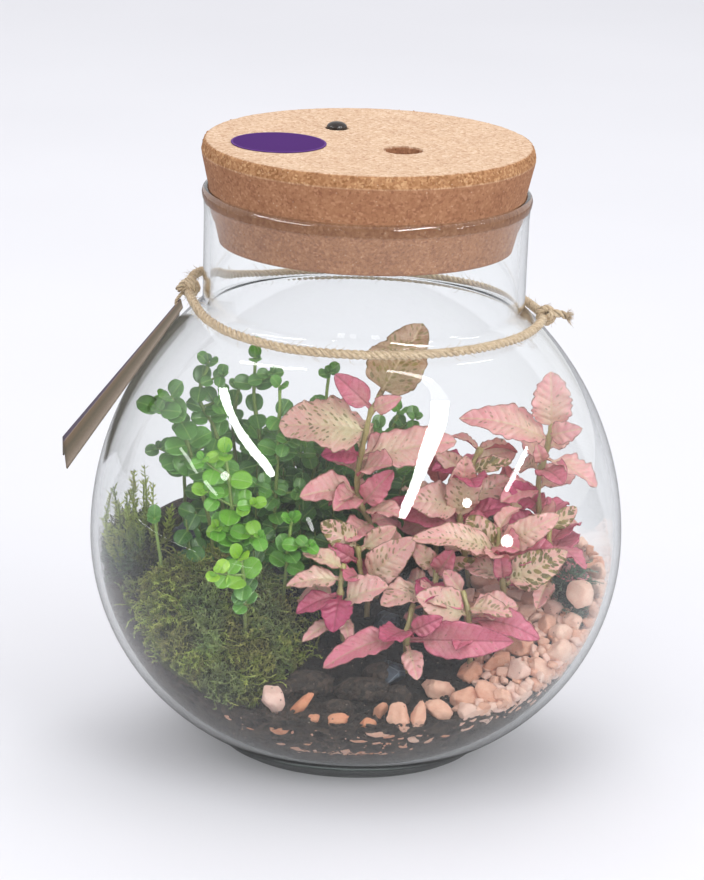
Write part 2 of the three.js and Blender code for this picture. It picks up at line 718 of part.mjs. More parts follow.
// Swings of a leaf about its root, mildest first: [turn about the vertical, lift, length].
const SWINGS = [];
for (const size of [1, 0.85, 0.7]) {
  for (const lift of [0, 9, -9, 18, -18, 28]) {
    for (const turn of [0, 10, -10, 20, -20, 32, -32]) SWINGS.push([turn, lift, size]);
  }
}
const effort = ([turn, lift, size]) => Math.abs(turn) + Math.abs(lift) * 1.3 + (1 - size) * 160;
SWINGS.sort((a, b) => effort(a) - effort(b));

function swungTip(base, tip, [turn, lift, size]) {
  const arm = tip.clone().sub(base).multiplyScalar(size);
  arm.applyAxisAngle(upAxis, (turn * Math.PI) / 180);
  const level = new THREE.Vector3().crossVectors(arm, upAxis);
  if (level.length() > 0.05 * arm.length()) arm.applyAxisAngle(level.normalize(), (lift * Math.PI) / 180);
  return base.clone().add(arm);
}

// True where a solid stays inside the glass and clear of every obstacle near it.
function isClear(solid, obstacles) {
  const box = solid.boundingBox();
  const mesh = solid.getMesh();
  for (let i = 0; i < mesh.numVert; i += 1) {
    const [x, y, z] = mesh.vertProperties.slice(i * mesh.numProp, i * mesh.numProp + 3);
    const wall = z > NECK_FROM ? BOWL.neckRadius - BOWL.wall : bowlRadius(z, BOWL.wall);
    if (Math.hypot(x, y) > wall - LEAF_AIR) return false;
  }
  return obstacles.every(({ solid: other, box: otherBox }) => {
    for (let k = 0; k < 3; k += 1) {
      if (box.min[k] > otherBox.max[k] + GAP || otherBox.min[k] > box.max[k] + GAP) return true;
    }
    return solid.minGap(other, 2 * GAP) > GAP;
  });
}
const obstacleOf = (solid) => ({ solid, box: solid.boundingBox() });

// ---------------------------------------------------------------- pink nerve plants
// Each leaf: where its blade begins, where it ends, its width, and the way its upper side looks.
const pinkStems = [
  {
    path: [[9, -15, 50], [7, -12, 84], [0, -10, 102], [3, -10, 128], [7, -10, 139]],
    leaves: [
      [[11, -11, 139], [21, -14, 167], 21, 'front'],
      [[2, -10, 136], [-9, -13, 147], 10, 'front'],
      [[6, -12, 134], [14, -17, 140], 7, 'front'],
      [[1, -11, 127], [-29, -18, 130], 24, 'lift'],
      [[5, -11, 115], [36, -14, 124], 16, 'lift'],
      [[-2, -12, 102], [-21, -22, 103], 12, 'lift'],
      [[3, -12, 99], [12, -16, 111], 10, 'front'],
      [[-1, -13, 98], [-10, -19, 101], 6, 'up'],
      [[3, -7, 119], [-5, 15, 128], 14, 'up'],
      [[3, -8, 107], [15, 12, 115], 13, 'up'],
    ],
  },
  {
    path: [[44, -3, 52], [43, -4, 68], [39, -4, 91], [42, 0, 108], [46, 2, 117]],
    leaves: [
      [[37, -4, 87], [11, -2, 97], 14, 'lift'],
      [[39, -6, 92], [40, -13, 118], 13, 'front'],
      [[40, -1, 109], [29, -6, 117], 8, 'front'],
      [[44, -1, 109], [57, -3, 114], 8, 'lift'],
      [[42, -6, 92], [57, -12, 99], 10, 'lift'],
      [[45, 2, 117], [35, 3, 122], 6, 'up'],
      [[48, 3, 116], [60, 8, 116], 7, 'up'],
      [[42, 3, 101], [38, 24, 106], 13, 'up'],
      [[45, -1, 80], [55, 16, 86], 12, 'up'],
    ],
  },
  {
    path: [[73, -5, 52], [70, -3, 80], [68, 0, 104], [71, 0, 120], [72, 0, 128]],
    leaves: [
      [[72, -1, 128], [70, -7, 149], 15, 'front'],
      [[69, -1, 123], [40, -8, 134], 14, 'lift'],
      [[73, -3, 124], [80, -12, 129], 9, 'front'],
      [[69, -2, 114], [66, -9, 122], 6, 'front'],
      [[73, -1, 119], [79, -3, 124], 6, 'front'],
      [[73, -2, 115], [89, -11, 107], 13, 'right'],
      [[67, -2, 98], [57, -8, 106], 9, 'front'],
      [[71, 3, 112], [63, 24, 118], 12, 'up'],
      [[71, 0, 90], [79, 19, 94], 12, 'up'],
    ],
  },
  {
    path: [[57, -36, 36], [55, -35, 76], [53, -34, 88], [52, -32, 96]],
    leaves: [
      [[50, -36, 88], [22, -48, 97], 13, 'lift'],
      [[55, -35, 91], [73, -42, 104], 11, 'front'],
      [[58, -38, 77], [76, -45, 91], 14, 'front'],
      [[50, -32, 88], [41, -28, 99], 10, 'front'],
      [[54, -37, 78], [53, -42, 91], 7, 'front'],
      [[53, -31, 95], [60, -25, 103], 8, 'up'],
    ],
  },
  {
    path: [[76, -16, 46], [73, -15, 74], [72, -13, 92]],
    leaves: [
      [[73, -13, 92], [82, -12, 99], 7, 'front'],
      [[74, -16, 86], [86, -26, 82], 11, 'right'],
      [[71, -18, 74], [68, -31, 66], 8, 'lift'],
      [[73, -11, 85], [84, 4, 91], 11, 'up'],
    ],
  },
  {
    path: [[44, -45, 34], [43, -45, 62], [40, -41, 74]],
    leaves: [
      [[46, -47, 66], [68, -52, 62], 11, 'lift'],
      [[43, -46, 70], [57, -57, 71], 9, 'lift'],
      [[39, -42, 74], [33, -39, 81], 7, 'front'],
    ],
  },
  {
    path: [[20, -45, 32], [20, -47, 54], [20, -46, 60], [22, -43, 69]],
    leaves: [
      [[15, -50, 60], [-10, -62, 51], 12, 'lift'],
      [[25, -45, 68], [34, -49, 71], 6, 'up'],
      [[23, -49, 61], [33, -55, 68], 8, 'front'],
      [[22, -51, 56], [24, -62, 48], 8, 'lift'],
      [[26, -51, 58], [56, -62, 62], 14, 'front'],
    ],
  },
  {
    path: [[-3, -36, 42], [-4, -36, 60], [-5, -36, 71], [-4, -32, 80]],
    leaves: [
      [[-6, -40, 72], [-7, -50, 60], 12, 'lift'],
      [[-9, -38, 71], [-21, -43, 64], 9, 'lift'],
      [[-6, -36, 77], [-24, -43, 76], 10, 'lift'],
      [[-5, -33, 80], [-19, -35, 85], 7, 'lift'],
      [[-8, -39, 62], [-18, -47, 56], 6, 'lift'],
      [[-3, -40, 63], [-1, -51, 56], 6, 'lift'],
    ],
  },
  {
    path: [[5, -24, 50], [5, -25, 65], [2, -24, 76], [1, -22, 84]],
    leaves: [
      [[-1, -23, 85], [-12, -28, 94], 11, 'front'],
      [[-1, -26, 80], [-8, -31, 86], 7, 'front'],
      [[6, -28, 74], [20, -35, 90], 14, 'front'],
      [[4, -22, 84], [15, -22, 92], 8, 'front'],
    ],
  },
  {
    path: [[28, -33, 42], [27, -34, 66], [30, -31, 74], [31, -27, 82]],
    leaves: [
      [[27, -36, 77], [11, -47, 71], 14, 'lift'],
      [[29, -30, 80], [21, -31, 88], 8, 'front'],
      [[32, -31, 78], [36, -38, 88], 9, 'front'],
      [[31, -34, 75], [27, -46, 73], 9, 'lift'],
      [[33, -29, 80], [43, -35, 84], 6, 'front'],
    ],
  },
  {
    path: [[30, 16, 56], [31, 16, 80], [32, 18, 98]],
    leaves: [
      [[32, 19, 98], [28, 24, 110], 9, 'back'],
      [[33, 17, 92], [48, 26, 98], 12, 'up'],
      [[30, 17, 90], [14, 28, 95], 12, 'up'],
      [[32, 19, 82], [34, 38, 86], 13, 'up'],
    ],
  },
  {
    path: [[60, 24, 56], [60, 24, 78], [58, 26, 92]],
    leaves: [
      [[58, 27, 92], [56, 34, 102], 9, 'back'],
      [[60, 26, 86], [74, 34, 90], 12, 'up'],
      [[58, 27, 82], [46, 42, 85], 12, 'up'],
    ],
  },
];

// Spread of a leaf along its midrib: a narrow stalk, then a blade that is widest a little before its
// middle and drawn to a short tip.
function pinkOutline(stalkPart, length) {
  const blade = 1 - stalkPart;
  if (length < SMALL_LEAF) {
    return [
      [0, 0],
      [stalkPart, 0.2],
      [stalkPart + 0.42 * blade, 1],
      [stalkPart + 0.78 * blade, 0.62],
      [1, 0],
    ];
  }
  return [
    [0, 0],
    [stalkPart, 0.16],
    [stalkPart + 0.32 * blade, 1],
    [stalkPart + 0.64 * blade, 0.84],
    [stalkPart + 0.88 * blade, 0.4],
    [1, 0],
  ];
}

// The point of a stem's curve that a leaf's stalk starts from: a little below the blade's beginning.
function rootOnStem(curve, base) {
  const target = base.clone().addScaledVector(upAxis, -1.5);
  let best = curve.getPoint(0);
  for (let i = 0; i <= 80; i += 1) {
    const point = curve.getPoint(0.15 + (0.84 * i) / 80);
    if (point.distanceTo(target) < best.distanceTo(target)) best = point;
  }
  return best;
}

// ---------------------------------------------------------------- green creeper stems
const greenStems = [
  { path: [[-50, 0, 54], [-50, 0, 81], [-53, 0, 117], [-60, 0, 133], [-57, 0, 147]], leaf: 8 },
  { path: [[-53, -13, 52], [-54, -13, 84], [-61, -14, 110], [-65, -14, 124], [-70, -14, 137]], leaf: 11 },
  { path: [[-35, 10, 56], [-36, 10, 80], [-37, 10, 112], [-40, 10, 131], [-40, 10, 147]], leaf: 8 },
  { path: [[-31, -6, 54], [-31, -6, 83], [-30, -8, 117], [-30, -8, 141]], leaf: 7.8 },
  { path: [[-22, 14, 58], [-20, 14, 82], [-15, 14, 111], [-12, 14, 141]], leaf: 8.2 },
  { path: [[-43, -33, 44], [-43, -34, 76], [-45, -35, 94], [-47, -34, 109], [-49, -32, 121]], leaf: 9 },
  { path: [[-39, -48, 40], [-40, -47, 72], [-42, -47, 86]], leaf: 9 },
  { path: [[-26, -28, 46], [-26, -29, 64], [-25, -30, 82], [-24, -30, 96]], leaf: 7.8 },
  { path: [[-70, -22, 50], [-72, -22, 74], [-75, -21, 92]], leaf: 8 },
  { path: [[12, 20, 62], [10, 20, 90], [11, 19, 112], [15, 18, 126]], leaf: 8.5 },
  { path: [[-44, 24, 62], [-46, 24, 95], [-48, 22, 118], [-46, 22, 133]], leaf: 8 },
  { path: [[-66, 24, 62], [-66, 24, 92], [-68, 23, 116]], leaf: 8 },
  { path: [[-18, 42, 64], [-18, 43, 90], [-14, 45, 112]], leaf: 8.5 },
  { path: [[20, 50, 66], [20, 50, 88], [24, 50, 106]], leaf: 8.5 },
];
const GREEN_OUTLINE = [
  [0, 0],
  [0.3, 0.92],
  [0.74, 0.9],
  [1, 0],
];

// Leaves of a creeper stem: opposite pairs, each pair turned a quarter from the one below.
function greenLeaves(stem, seed) {
  const random = seededRandom(seed);
  const curve = curveOf(stem.path);
  const foot = curve.getPoint(0);
  const top = curve.getPoint(1);
  const pairs = Math.floor((top.z - soilHeight(foot.x, foot.y) - BARE_FOOT) / PAIR_SPACING) + 1;
  const leaves = [];
  for (let i = 0; i < pairs; i += 1) {
    const height = top.z - 0.6 - PAIR_SPACING * i;
    const t = (height - foot.z) / (top.z - foot.z);
    const base = curve.getPoint(t);
    const size = stem.leaf * (i === 0 ? 0.72 : 0.9 + 0.2 * random());
    const turn = i * (Math.PI / 2) + 0.5 * random() + seed;
    const lift = 0.2 + 0.35 * random() + (i === 0 ? 0.5 : 0);
    for (const half of [0, Math.PI]) {
      const direction = new THREE.Vector3(
        Math.cos(turn + half) * Math.cos(lift),
        Math.sin(turn + half) * Math.cos(lift),
        Math.sin(lift),
      );
      direction.applyAxisAngle(rightAxis, (CREEPER_TILT * Math.PI) / 180);
      leaves.push({ base, tip: base.clone().addScaledVector(direction, size), width: size * 0.86 });
    }
  }
  return leaves;
}

// ---------------------------------------------------------------- planting
const numbered = (stems, kind, radius) =>
  stems.map((stem, i) => ({ ...stem, name: `${kind}_stem_${String(i + 1).padStart(2, '0')}`, radius }));
const planted = [
  ...numbered(pinkStems, 'pink', PINK_STEM_RADIUS),
  ...numbered(greenStems, 'green', GREEN_STEM_RADIUS),
];
const STEM_SIDES = 5;
const socketAir = 1.4 * GAP; // keeps the gap at the flats of a five-sided stem
for (const plant of planted) {
  plant.solid = tube(plant.path, plant.radius, plant.path.length, STEM_SIDES);
  plant.stalk = obstacleOf(plant.solid);
  const [foot, ...rest] = plant.path;
  const socketPath = [[foot[0], foot[1], foot[2] - GAP], ...rest];
  const socket = tube(socketPath, plant.radius + socketAir, plant.path.length, STEM_SIDES);
  soil = soil.subtract(socket);
  gravel = gravel.subtract(socket);
  for (const moss of mosses) moss.solid = moss.solid.subtract(socket);
}

soil = mainBody(soil);
gravel = mainBody(gravel);
addPiece('soil', soil, 'soil');
addPiece('gravel', gravel, 'gravel');
for (const piece of settled) addPiece(piece.name, piece.solid, piece.finish);
for (const moss of mosses) {
  moss.solid = mainBody(moss.solid);
  addPiece(moss.name, moss.solid, moss.name === 'moss_right' ? 'greyMoss' : 'moss');
}

const ground = [soil, gravel, ...settled.map((piece) => piece.solid), ...mosses.map((moss) => moss.solid)];
const fixedObstacles = ground.map(obstacleOf);

function growLeaf(plant, obstacles, { base, tip, face, make }) {
  for (const swing of SWINGS) {
    const leaf = make(leafFrame(base, swungTip(base, tip, swing), face));
    if (isClear(leaf, obstacles)) {
      plant.solid = plant.solid.add(leaf);
      return;
    }
  }
}

const grown = [];
planted.forEach((plant, number) => {
  const waiting = planted.slice(number + 1).map((other) => other.stalk);
  const obstacles = [...fixedObstacles, ...waiting, ...grown.map((other) => obstacleOf(other.solid))];
  const curve = curveOf(plant.path);
  if (plant.leaves) {
    for (const [start, end, width, face] of plant.leaves) {
      const root = rootOnStem(curve, vec(start));
      const length = root.distanceTo(vec(end));
      const stalkPart = Math.min(0.3, Math.max(0.08, root.distanceTo(vec(start)) / length));
      const outline = pinkOutline(stalkPart, length);
      const ratio = width / length;
      const make = (frame) => bladeSolid(frame, outline, { ...PINK_FORM, width: ratio * frame.length });
      growLeaf(plant, obstacles, { base: root, tip: vec(end), face: vec(FACES[face]), make });
    }
  } else {
    const face = upAxis.clone().applyAxisAngle(rightAxis, (CREEPER_TILT * Math.PI) / 180);
    for (const { base, tip, width } of greenLeaves(plant, number)) {
      const ratio = width / base.distanceTo(tip);
      const make = (frame) => bladeSolid(frame, GREEN_OUTLINE, { ...GREEN_FORM, width: ratio * frame.length });
      growLeaf(plant, obstacles, { base, tip, face, make });
    }
  }
  plant.solid = mainBody(plant.solid);
  grown.push(plant);
  addPiece(plant.name, plant.solid, plant.leaves ? 'pinkLeaf' : 'greenLeaf');
});

export default terrarium;
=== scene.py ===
"""The looks of a planted glass terrarium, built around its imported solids.

Lengths are in millimetres, +Z up, in the frame of the solids, and become metres when a mesh is made.
Each section dresses one part: glass, lid, twine and tag, ground, stones, moss, pink plants, creeper.
"""

import math
import random
from types import SimpleNamespace as Sizes

import bmesh
import bpy
import numpy as np
from mathutils import Matrix, Vector, noise
from mathutils.kdtree import KDTree


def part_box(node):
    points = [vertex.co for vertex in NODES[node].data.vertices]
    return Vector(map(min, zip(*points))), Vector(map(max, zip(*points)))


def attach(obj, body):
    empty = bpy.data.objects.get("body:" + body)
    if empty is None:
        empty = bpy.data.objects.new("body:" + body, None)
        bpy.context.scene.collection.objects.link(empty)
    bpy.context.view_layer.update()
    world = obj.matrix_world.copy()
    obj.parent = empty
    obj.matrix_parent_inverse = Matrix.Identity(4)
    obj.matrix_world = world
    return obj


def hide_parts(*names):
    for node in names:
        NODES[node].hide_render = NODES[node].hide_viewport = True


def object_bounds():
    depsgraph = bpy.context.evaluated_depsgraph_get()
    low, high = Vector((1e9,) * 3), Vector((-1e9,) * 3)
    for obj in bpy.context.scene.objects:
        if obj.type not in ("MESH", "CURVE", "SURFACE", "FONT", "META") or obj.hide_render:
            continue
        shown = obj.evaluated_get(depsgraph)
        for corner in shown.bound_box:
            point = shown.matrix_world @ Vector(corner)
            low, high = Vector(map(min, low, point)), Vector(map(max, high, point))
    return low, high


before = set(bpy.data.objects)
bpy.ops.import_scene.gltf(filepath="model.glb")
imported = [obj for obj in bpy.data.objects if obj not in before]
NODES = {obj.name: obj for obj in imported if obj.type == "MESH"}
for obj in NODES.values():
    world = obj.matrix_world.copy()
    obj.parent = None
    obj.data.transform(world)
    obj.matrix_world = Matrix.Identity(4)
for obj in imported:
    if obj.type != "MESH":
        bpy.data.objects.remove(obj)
cad_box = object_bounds()
MM = 0.001

# ---------------------------------------------------------------- sizes shared with the solids
BOWL = Sizes(
    widest=100, widest_height=83, shoulder_arc=117, foot_arc=86, foot_radius=44, foot_blend=8, wall=2.6, base=5,
    floor_blend=4, neck_radius=60, neck_fillet=5, rim_radius=60.7, bead_height=213, height=215.3,
)
LID = Sizes(bottom=195.4, top=233.4, bottom_radius=54.2, widest_radius=62, widest_height=229.1)
RECESS = Sizes(x=12.5, y=-14, radius=7.2, depth=9)
PLUG = Sizes(x=-12.2, y=21.5, bore=4.3, radius=3.8, depth=10, dome=2.5)
LABEL = Sizes(x=-33.2, y=-9.2, radius=17.6, thickness=0.3)
TWINE = Sizes(radius=1.75, ring=65.9, height=168.9)
KNOT_LEFT = (-64.8, -1, 175.8)
KNOT_RIGHT = (67.8, -5, 170.8)
TAG = Sizes(
    ridge_top=(-68.5, 0.5, 171.2), ridge_bottom=(-111.3, 0, 116.6), near_flap_top=(2, -29.5, 4),
    near_flap=(3.5, -30, -4), far_flap=(-1.5, 27, -15), thickness=0.55,
)
SOIL = Sizes(front=34, bank=32, back_bank=8, edge=75, skew=0.1, lump=1.1)
GRAVEL = Sizes(to=124, height=38)
NECK_FROM = 165


# ---------------------------------------------------------------- numbers
def vec(point):
    return np.array(point, dtype=float)


def unit(arrow):
    return arrow / np.linalg.norm(arrow)


def smooth(t):
    clamped = np.clip(t, 0, 1)
    return clamped * clamped * (3 - 2 * clamped)


def seeded(seed):
    """The same draws as the solids' source makes from a seed."""
    state = seed & 0xFFFFFFFF

    def draw():
        nonlocal state
        state = (state + 0x6D2B79F5) & 0xFFFFFFFF
        mixed = ((state ^ (state >> 15)) * (1 | state)) & 0xFFFFFFFF
        mixed = (mixed + (mixed ^ (mixed >> 7)) * (61 | mixed)) & 0xFFFFFFFF ^ mixed
        return ((mixed ^ (mixed >> 14)) & 0xFFFFFFFF) / 4294967296

    return draw


def curve_point(points, t):
    """A point of the smooth curve through points: a Catmull-Rom spline whose ends are extrapolated."""
    last = len(points) - 1
    place = last * t
    step = math.floor(place)
    part = place - step
    if part == 0 and step == last:
        step, part = last - 1, 1
    p1, p2 = points[step], points[step + 1]
    p0 = points[step - 1] if step > 0 else 2 * points[0] - points[1]
    p3 = points[step + 2] if step + 2 <= last else 2 * points[last] - points[last - 1]
    start, end = 0.5 * (p2 - p0), 0.5 * (p3 - p1)
    square = -3 * p1 + 3 * p2 - 2 * start - end
    cube = 2 * p1 - 2 * p2 + start + end
    return p1 + part * start + part**2 * square + part**3 * cube


def smooth_path(points, count):
    points = [vec(p) for p in points]
    return np.array([curve_point(points, i / (count - 1)) for i in range(count)])


def rotated(arrow, axis, degrees):
    turn = math.radians(degrees)
    axis = unit(axis)
    level = np.cross(axis, arrow)
    return arrow * math.cos(turn) + level * math.sin(turn) + axis * axis.dot(arrow) * (1 - math.cos(turn))


def wander(points, scale, seed=0.0):
    """Smooth noise from -1 to 1 at each point, for lumps of about 1 / scale."""
    shift = Vector((seed, seed * 1.7, -seed))
    return np.array([noise.noise(Vector(p) * scale + shift) for p in np.asarray(points).tolist()])


def bowl_radius(height, inset=0.0):
    arc = np.where(height > BOWL.widest_height, BOWL.shoulder_arc, BOWL.foot_arc)
    rise = height - BOWL.widest_height
    return BOWL.widest - arc + np.sqrt(np.maximum((arc - inset) ** 2 - rise**2, 0))


def inside_glass(points, air=0.3):
    """The points drawn in where they would cut the glass."""
    points = np.array(points, dtype=float)
    reach = np.hypot(points[:, 0], points[:, 1])
    floor = BOWL.base + BOWL.floor_blend
    wall = bowl_radius(np.maximum(points[:, 2], floor), BOWL.wall)
    wall = np.where(points[:, 2] > NECK_FROM, BOWL.neck_radius - BOWL.wall, wall) - air
    shrink = np.where(reach > wall, wall / np.maximum(reach, 1e-6), 1)
    points[:, 0] *= shrink
    points[:, 1] *= shrink
    return points


def soil_height(x, y):
    reach = y - SOIL.skew * x
    front_bank = SOIL.bank * smooth((reach + SOIL.edge) / SOIL.edge)
    back_bank = SOIL.back_bank * smooth(reach / SOIL.edge)
    lumps = SOIL.lump * np.sin(0.11 * x + 0.6) * np.sin(0.13 * y + 1.1)
    return SOIL.front + front_bank + back_bank + lumps


# ---------------------------------------------------------------- meshes
def in_scene(name, data):
    made = bpy.data.objects.new(name, data)
    bpy.context.scene.collection.objects.link(made)
    return made


def bare_mesh(name, points, faces, materials=()):
    """A mesh in the scene, from points in millimetres."""
    mesh = bpy.data.meshes.new(name)
    mesh.from_pydata((np.asarray(points) * MM).tolist(), [], faces)
    for material in materials:
        mesh.materials.append(material)
    return in_scene(name, mesh)


def mesh_points(mesh):
    return np.array([tuple(v.co) for v in mesh.vertices]) / MM


class Batch:
    """Points and faces gathered for one mesh, with a shape, a tone and a part vector at each point."""

    def __init__(self):
        self.points, self.faces, self.shapes, self.tones, self.parts, self.marks = [], [], [], [], [], []
        self.count = 0

    def add(self, points, faces, shape=(0, 0, 0), tone=(0, 0, 0), part=(0, 0, 0), mark=0):
        """Adds a mesh. Each vector is one for all its points or one a point, mark likewise for its faces."""
        points = np.asarray(points, dtype=float)
        self.points.append(points)
        for values, given in ((self.shapes, shape), (self.tones, tone), (self.parts, part)):
            values.append(np.broadcast_to(vec(given), points.shape))
        if isinstance(faces, np.ndarray):
            self.faces += (faces + self.count).tolist()
        else:
            self.faces += [[corner + self.count for corner in face] for face in faces]
        self.marks += np.broadcast_to(mark, len(faces)).tolist()
        self.count += len(points)

    def piece(self, name, slot, materials, replaces=(), smooth_faces=True):
        """The gathered mesh as one piece that rides with the object."""
        made = bare_mesh(name, np.concatenate(self.points), self.faces, materials)
        mesh = made.data
        for label, values in (("shape", self.shapes), ("tone", self.tones), ("part", self.parts)):
            layer = mesh.attributes.new(label, "FLOAT_VECTOR", "POINT")
            layer.data.foreach_set("vector", np.concatenate(values).astype(np.float32).ravel())
        mesh.polygons.foreach_set("material_index", self.marks)
        mesh.polygons.foreach_set("use_smooth", [smooth_faces] * len(self.faces))
        mesh.validate()
        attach(made, "root")
        if replaces:
            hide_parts(*replaces)
        return made


def grid_faces(rows, columns, closed=False):
    """Quads between the rows of a grid; a closed grid's columns run round."""
    row = np.arange(rows - 1)[:, None]
    column = np.arange(columns if closed else columns - 1)[None, :]
    following = (column + 1) % columns
    corners = (row * columns + column, row * columns + following)
    upper = ((row + 1) * columns + following, (row + 1) * columns + column)
    return np.stack([*corners, *upper], axis=-1).reshape(-1, 4)


def closed_faces(rings, sides):
    """Faces of rings closed by a point at either end; these two points follow those of the rings."""
    faces = grid_faces(rings, sides, closed=True).tolist()
    low, start = rings * sides, (rings - 1) * sides
    for i in range(sides):
        following = (i + 1) % sides
        faces += [[low, following, i], [low + 1, start + i, start + following]]
    return faces


def sheet_faces(rows, columns):
    """Upper faces, lower faces and rim of a sheet whose lower points follow its upper ones."""
    count = rows * columns
    faces = grid_faces(rows, columns)
    border = [*range(columns), *range(2 * columns - 1, count, columns)]
    border += [*range(count - 2, count - columns - 1, -1), *range(count - 2 * columns, 0, -columns)]
    rim = [[a, a + count, b + count, b] for a, b in zip(border, border[1:] + border[:1], strict=True)]
    return faces, faces[:, ::-1] + count, np.array(rim)


def frames_along(path):
    """Two unit arrows square to a path at each of its points, turning as little as they can."""
    ahead = np.gradient(path, axis=0)
    ahead /= np.linalg.norm(ahead, axis=1)[:, None]
    side = np.cross(ahead[0], [0.31, 0.17, 0.93])
    sides = []
    for direction in ahead:
        side = unit(side - direction * direction.dot(side))
        sides.append(side)
    sides = np.array(sides)
    return sides, np.cross(ahead, sides)


def tube(path, radius, sides=8):
    """A tube with rounded-off closed ends along a path; radius may vary along it."""
    path = np.asarray(path, dtype=float)
    radius = np.broadcast_to(radius, len(path)).astype(float)
    across, up = frames_along(path)
    turn = 2 * np.pi * np.arange(sides) / sides
    ring = across[:, None] * np.cos(turn)[None, :, None] + up[:, None] * np.sin(turn)[None, :, None]
    points = (path[:, None] + ring * radius[:, None, None]).reshape(-1, 3)
    return np.vstack([points, path[0], path[-1]]), closed_faces(len(path), sides)


def add_tube(batch, path, radius, sides=8, **looks):
    batch.add(*tube(path, radius, sides), **looks)


def turned(profile, sides):
    """A profile of (radius, height) turned about the axis; it starts and ends on the axis."""
    profile = np.asarray(profile, dtype=float)
    turn = 2 * np.pi * np.arange(sides) / sides
    ring = profile[1:-1]
    points = np.stack(
        [
            ring[:, None, 0] * np.cos(turn),
            ring[:, None, 0] * np.sin(turn),
            np.broadcast_to(ring[:, None, 1], (len(ring), sides)),
        ],
        axis=-1,
    ).reshape(-1, 3)
    points = np.vstack([points, [0, 0, profile[0, 1]], [0, 0, profile[-1, 1]]])
    return points, closed_faces(len(ring), sides)


def ball(detail):
    """A unit ball's points and triangles."""
    made = bpy.data.meshes.new("ball")
    shape = bmesh.new()
    bmesh.ops.create_icosphere(shape, subdivisions=detail, radius=1)
    shape.to_mesh(made)
    shape.free()
    points = np.array([tuple(v.co) for v in made.vertices])
    faces = np.array([tuple(p.vertices) for p in made.polygons])
    bpy.data.meshes.remove(made)
    return points, faces


BALLS = {detail: ball(detail) for detail in (1, 2, 3, 4, 5)}


# ---------------------------------------------------------------- materials
def srgb(code):
    """A colour written as red, green and blue hex pairs, as linear light."""
    parts = [int(code[i : i + 2], 16) / 255 for i in (0, 2, 4)]
    return (*[p / 12.92 if p <= 0.04045 else ((p + 0.055) / 1.055) ** 2.4 for p in parts], 1)


class Value:
    """What a node gives, to be reckoned with."""

    def __init__(self, look, socket):
        self.look, self.socket = look, socket

    def __add__(self, other):
        return self.look.math("ADD", self, other)

    def __sub__(self, other):
        return self.look.math("SUBTRACT", self, other)

    def __mul__(self, other):
        return self.look.math("MULTIPLY", self, other)

    def __truediv__(self, other):
        return self.look.math("DIVIDE", self, other)

    def __lt__(self, other):
        return self.look.math("LESS_THAN", self, other)

    def __abs__(self):
        return self.look.math("ABSOLUTE", self)


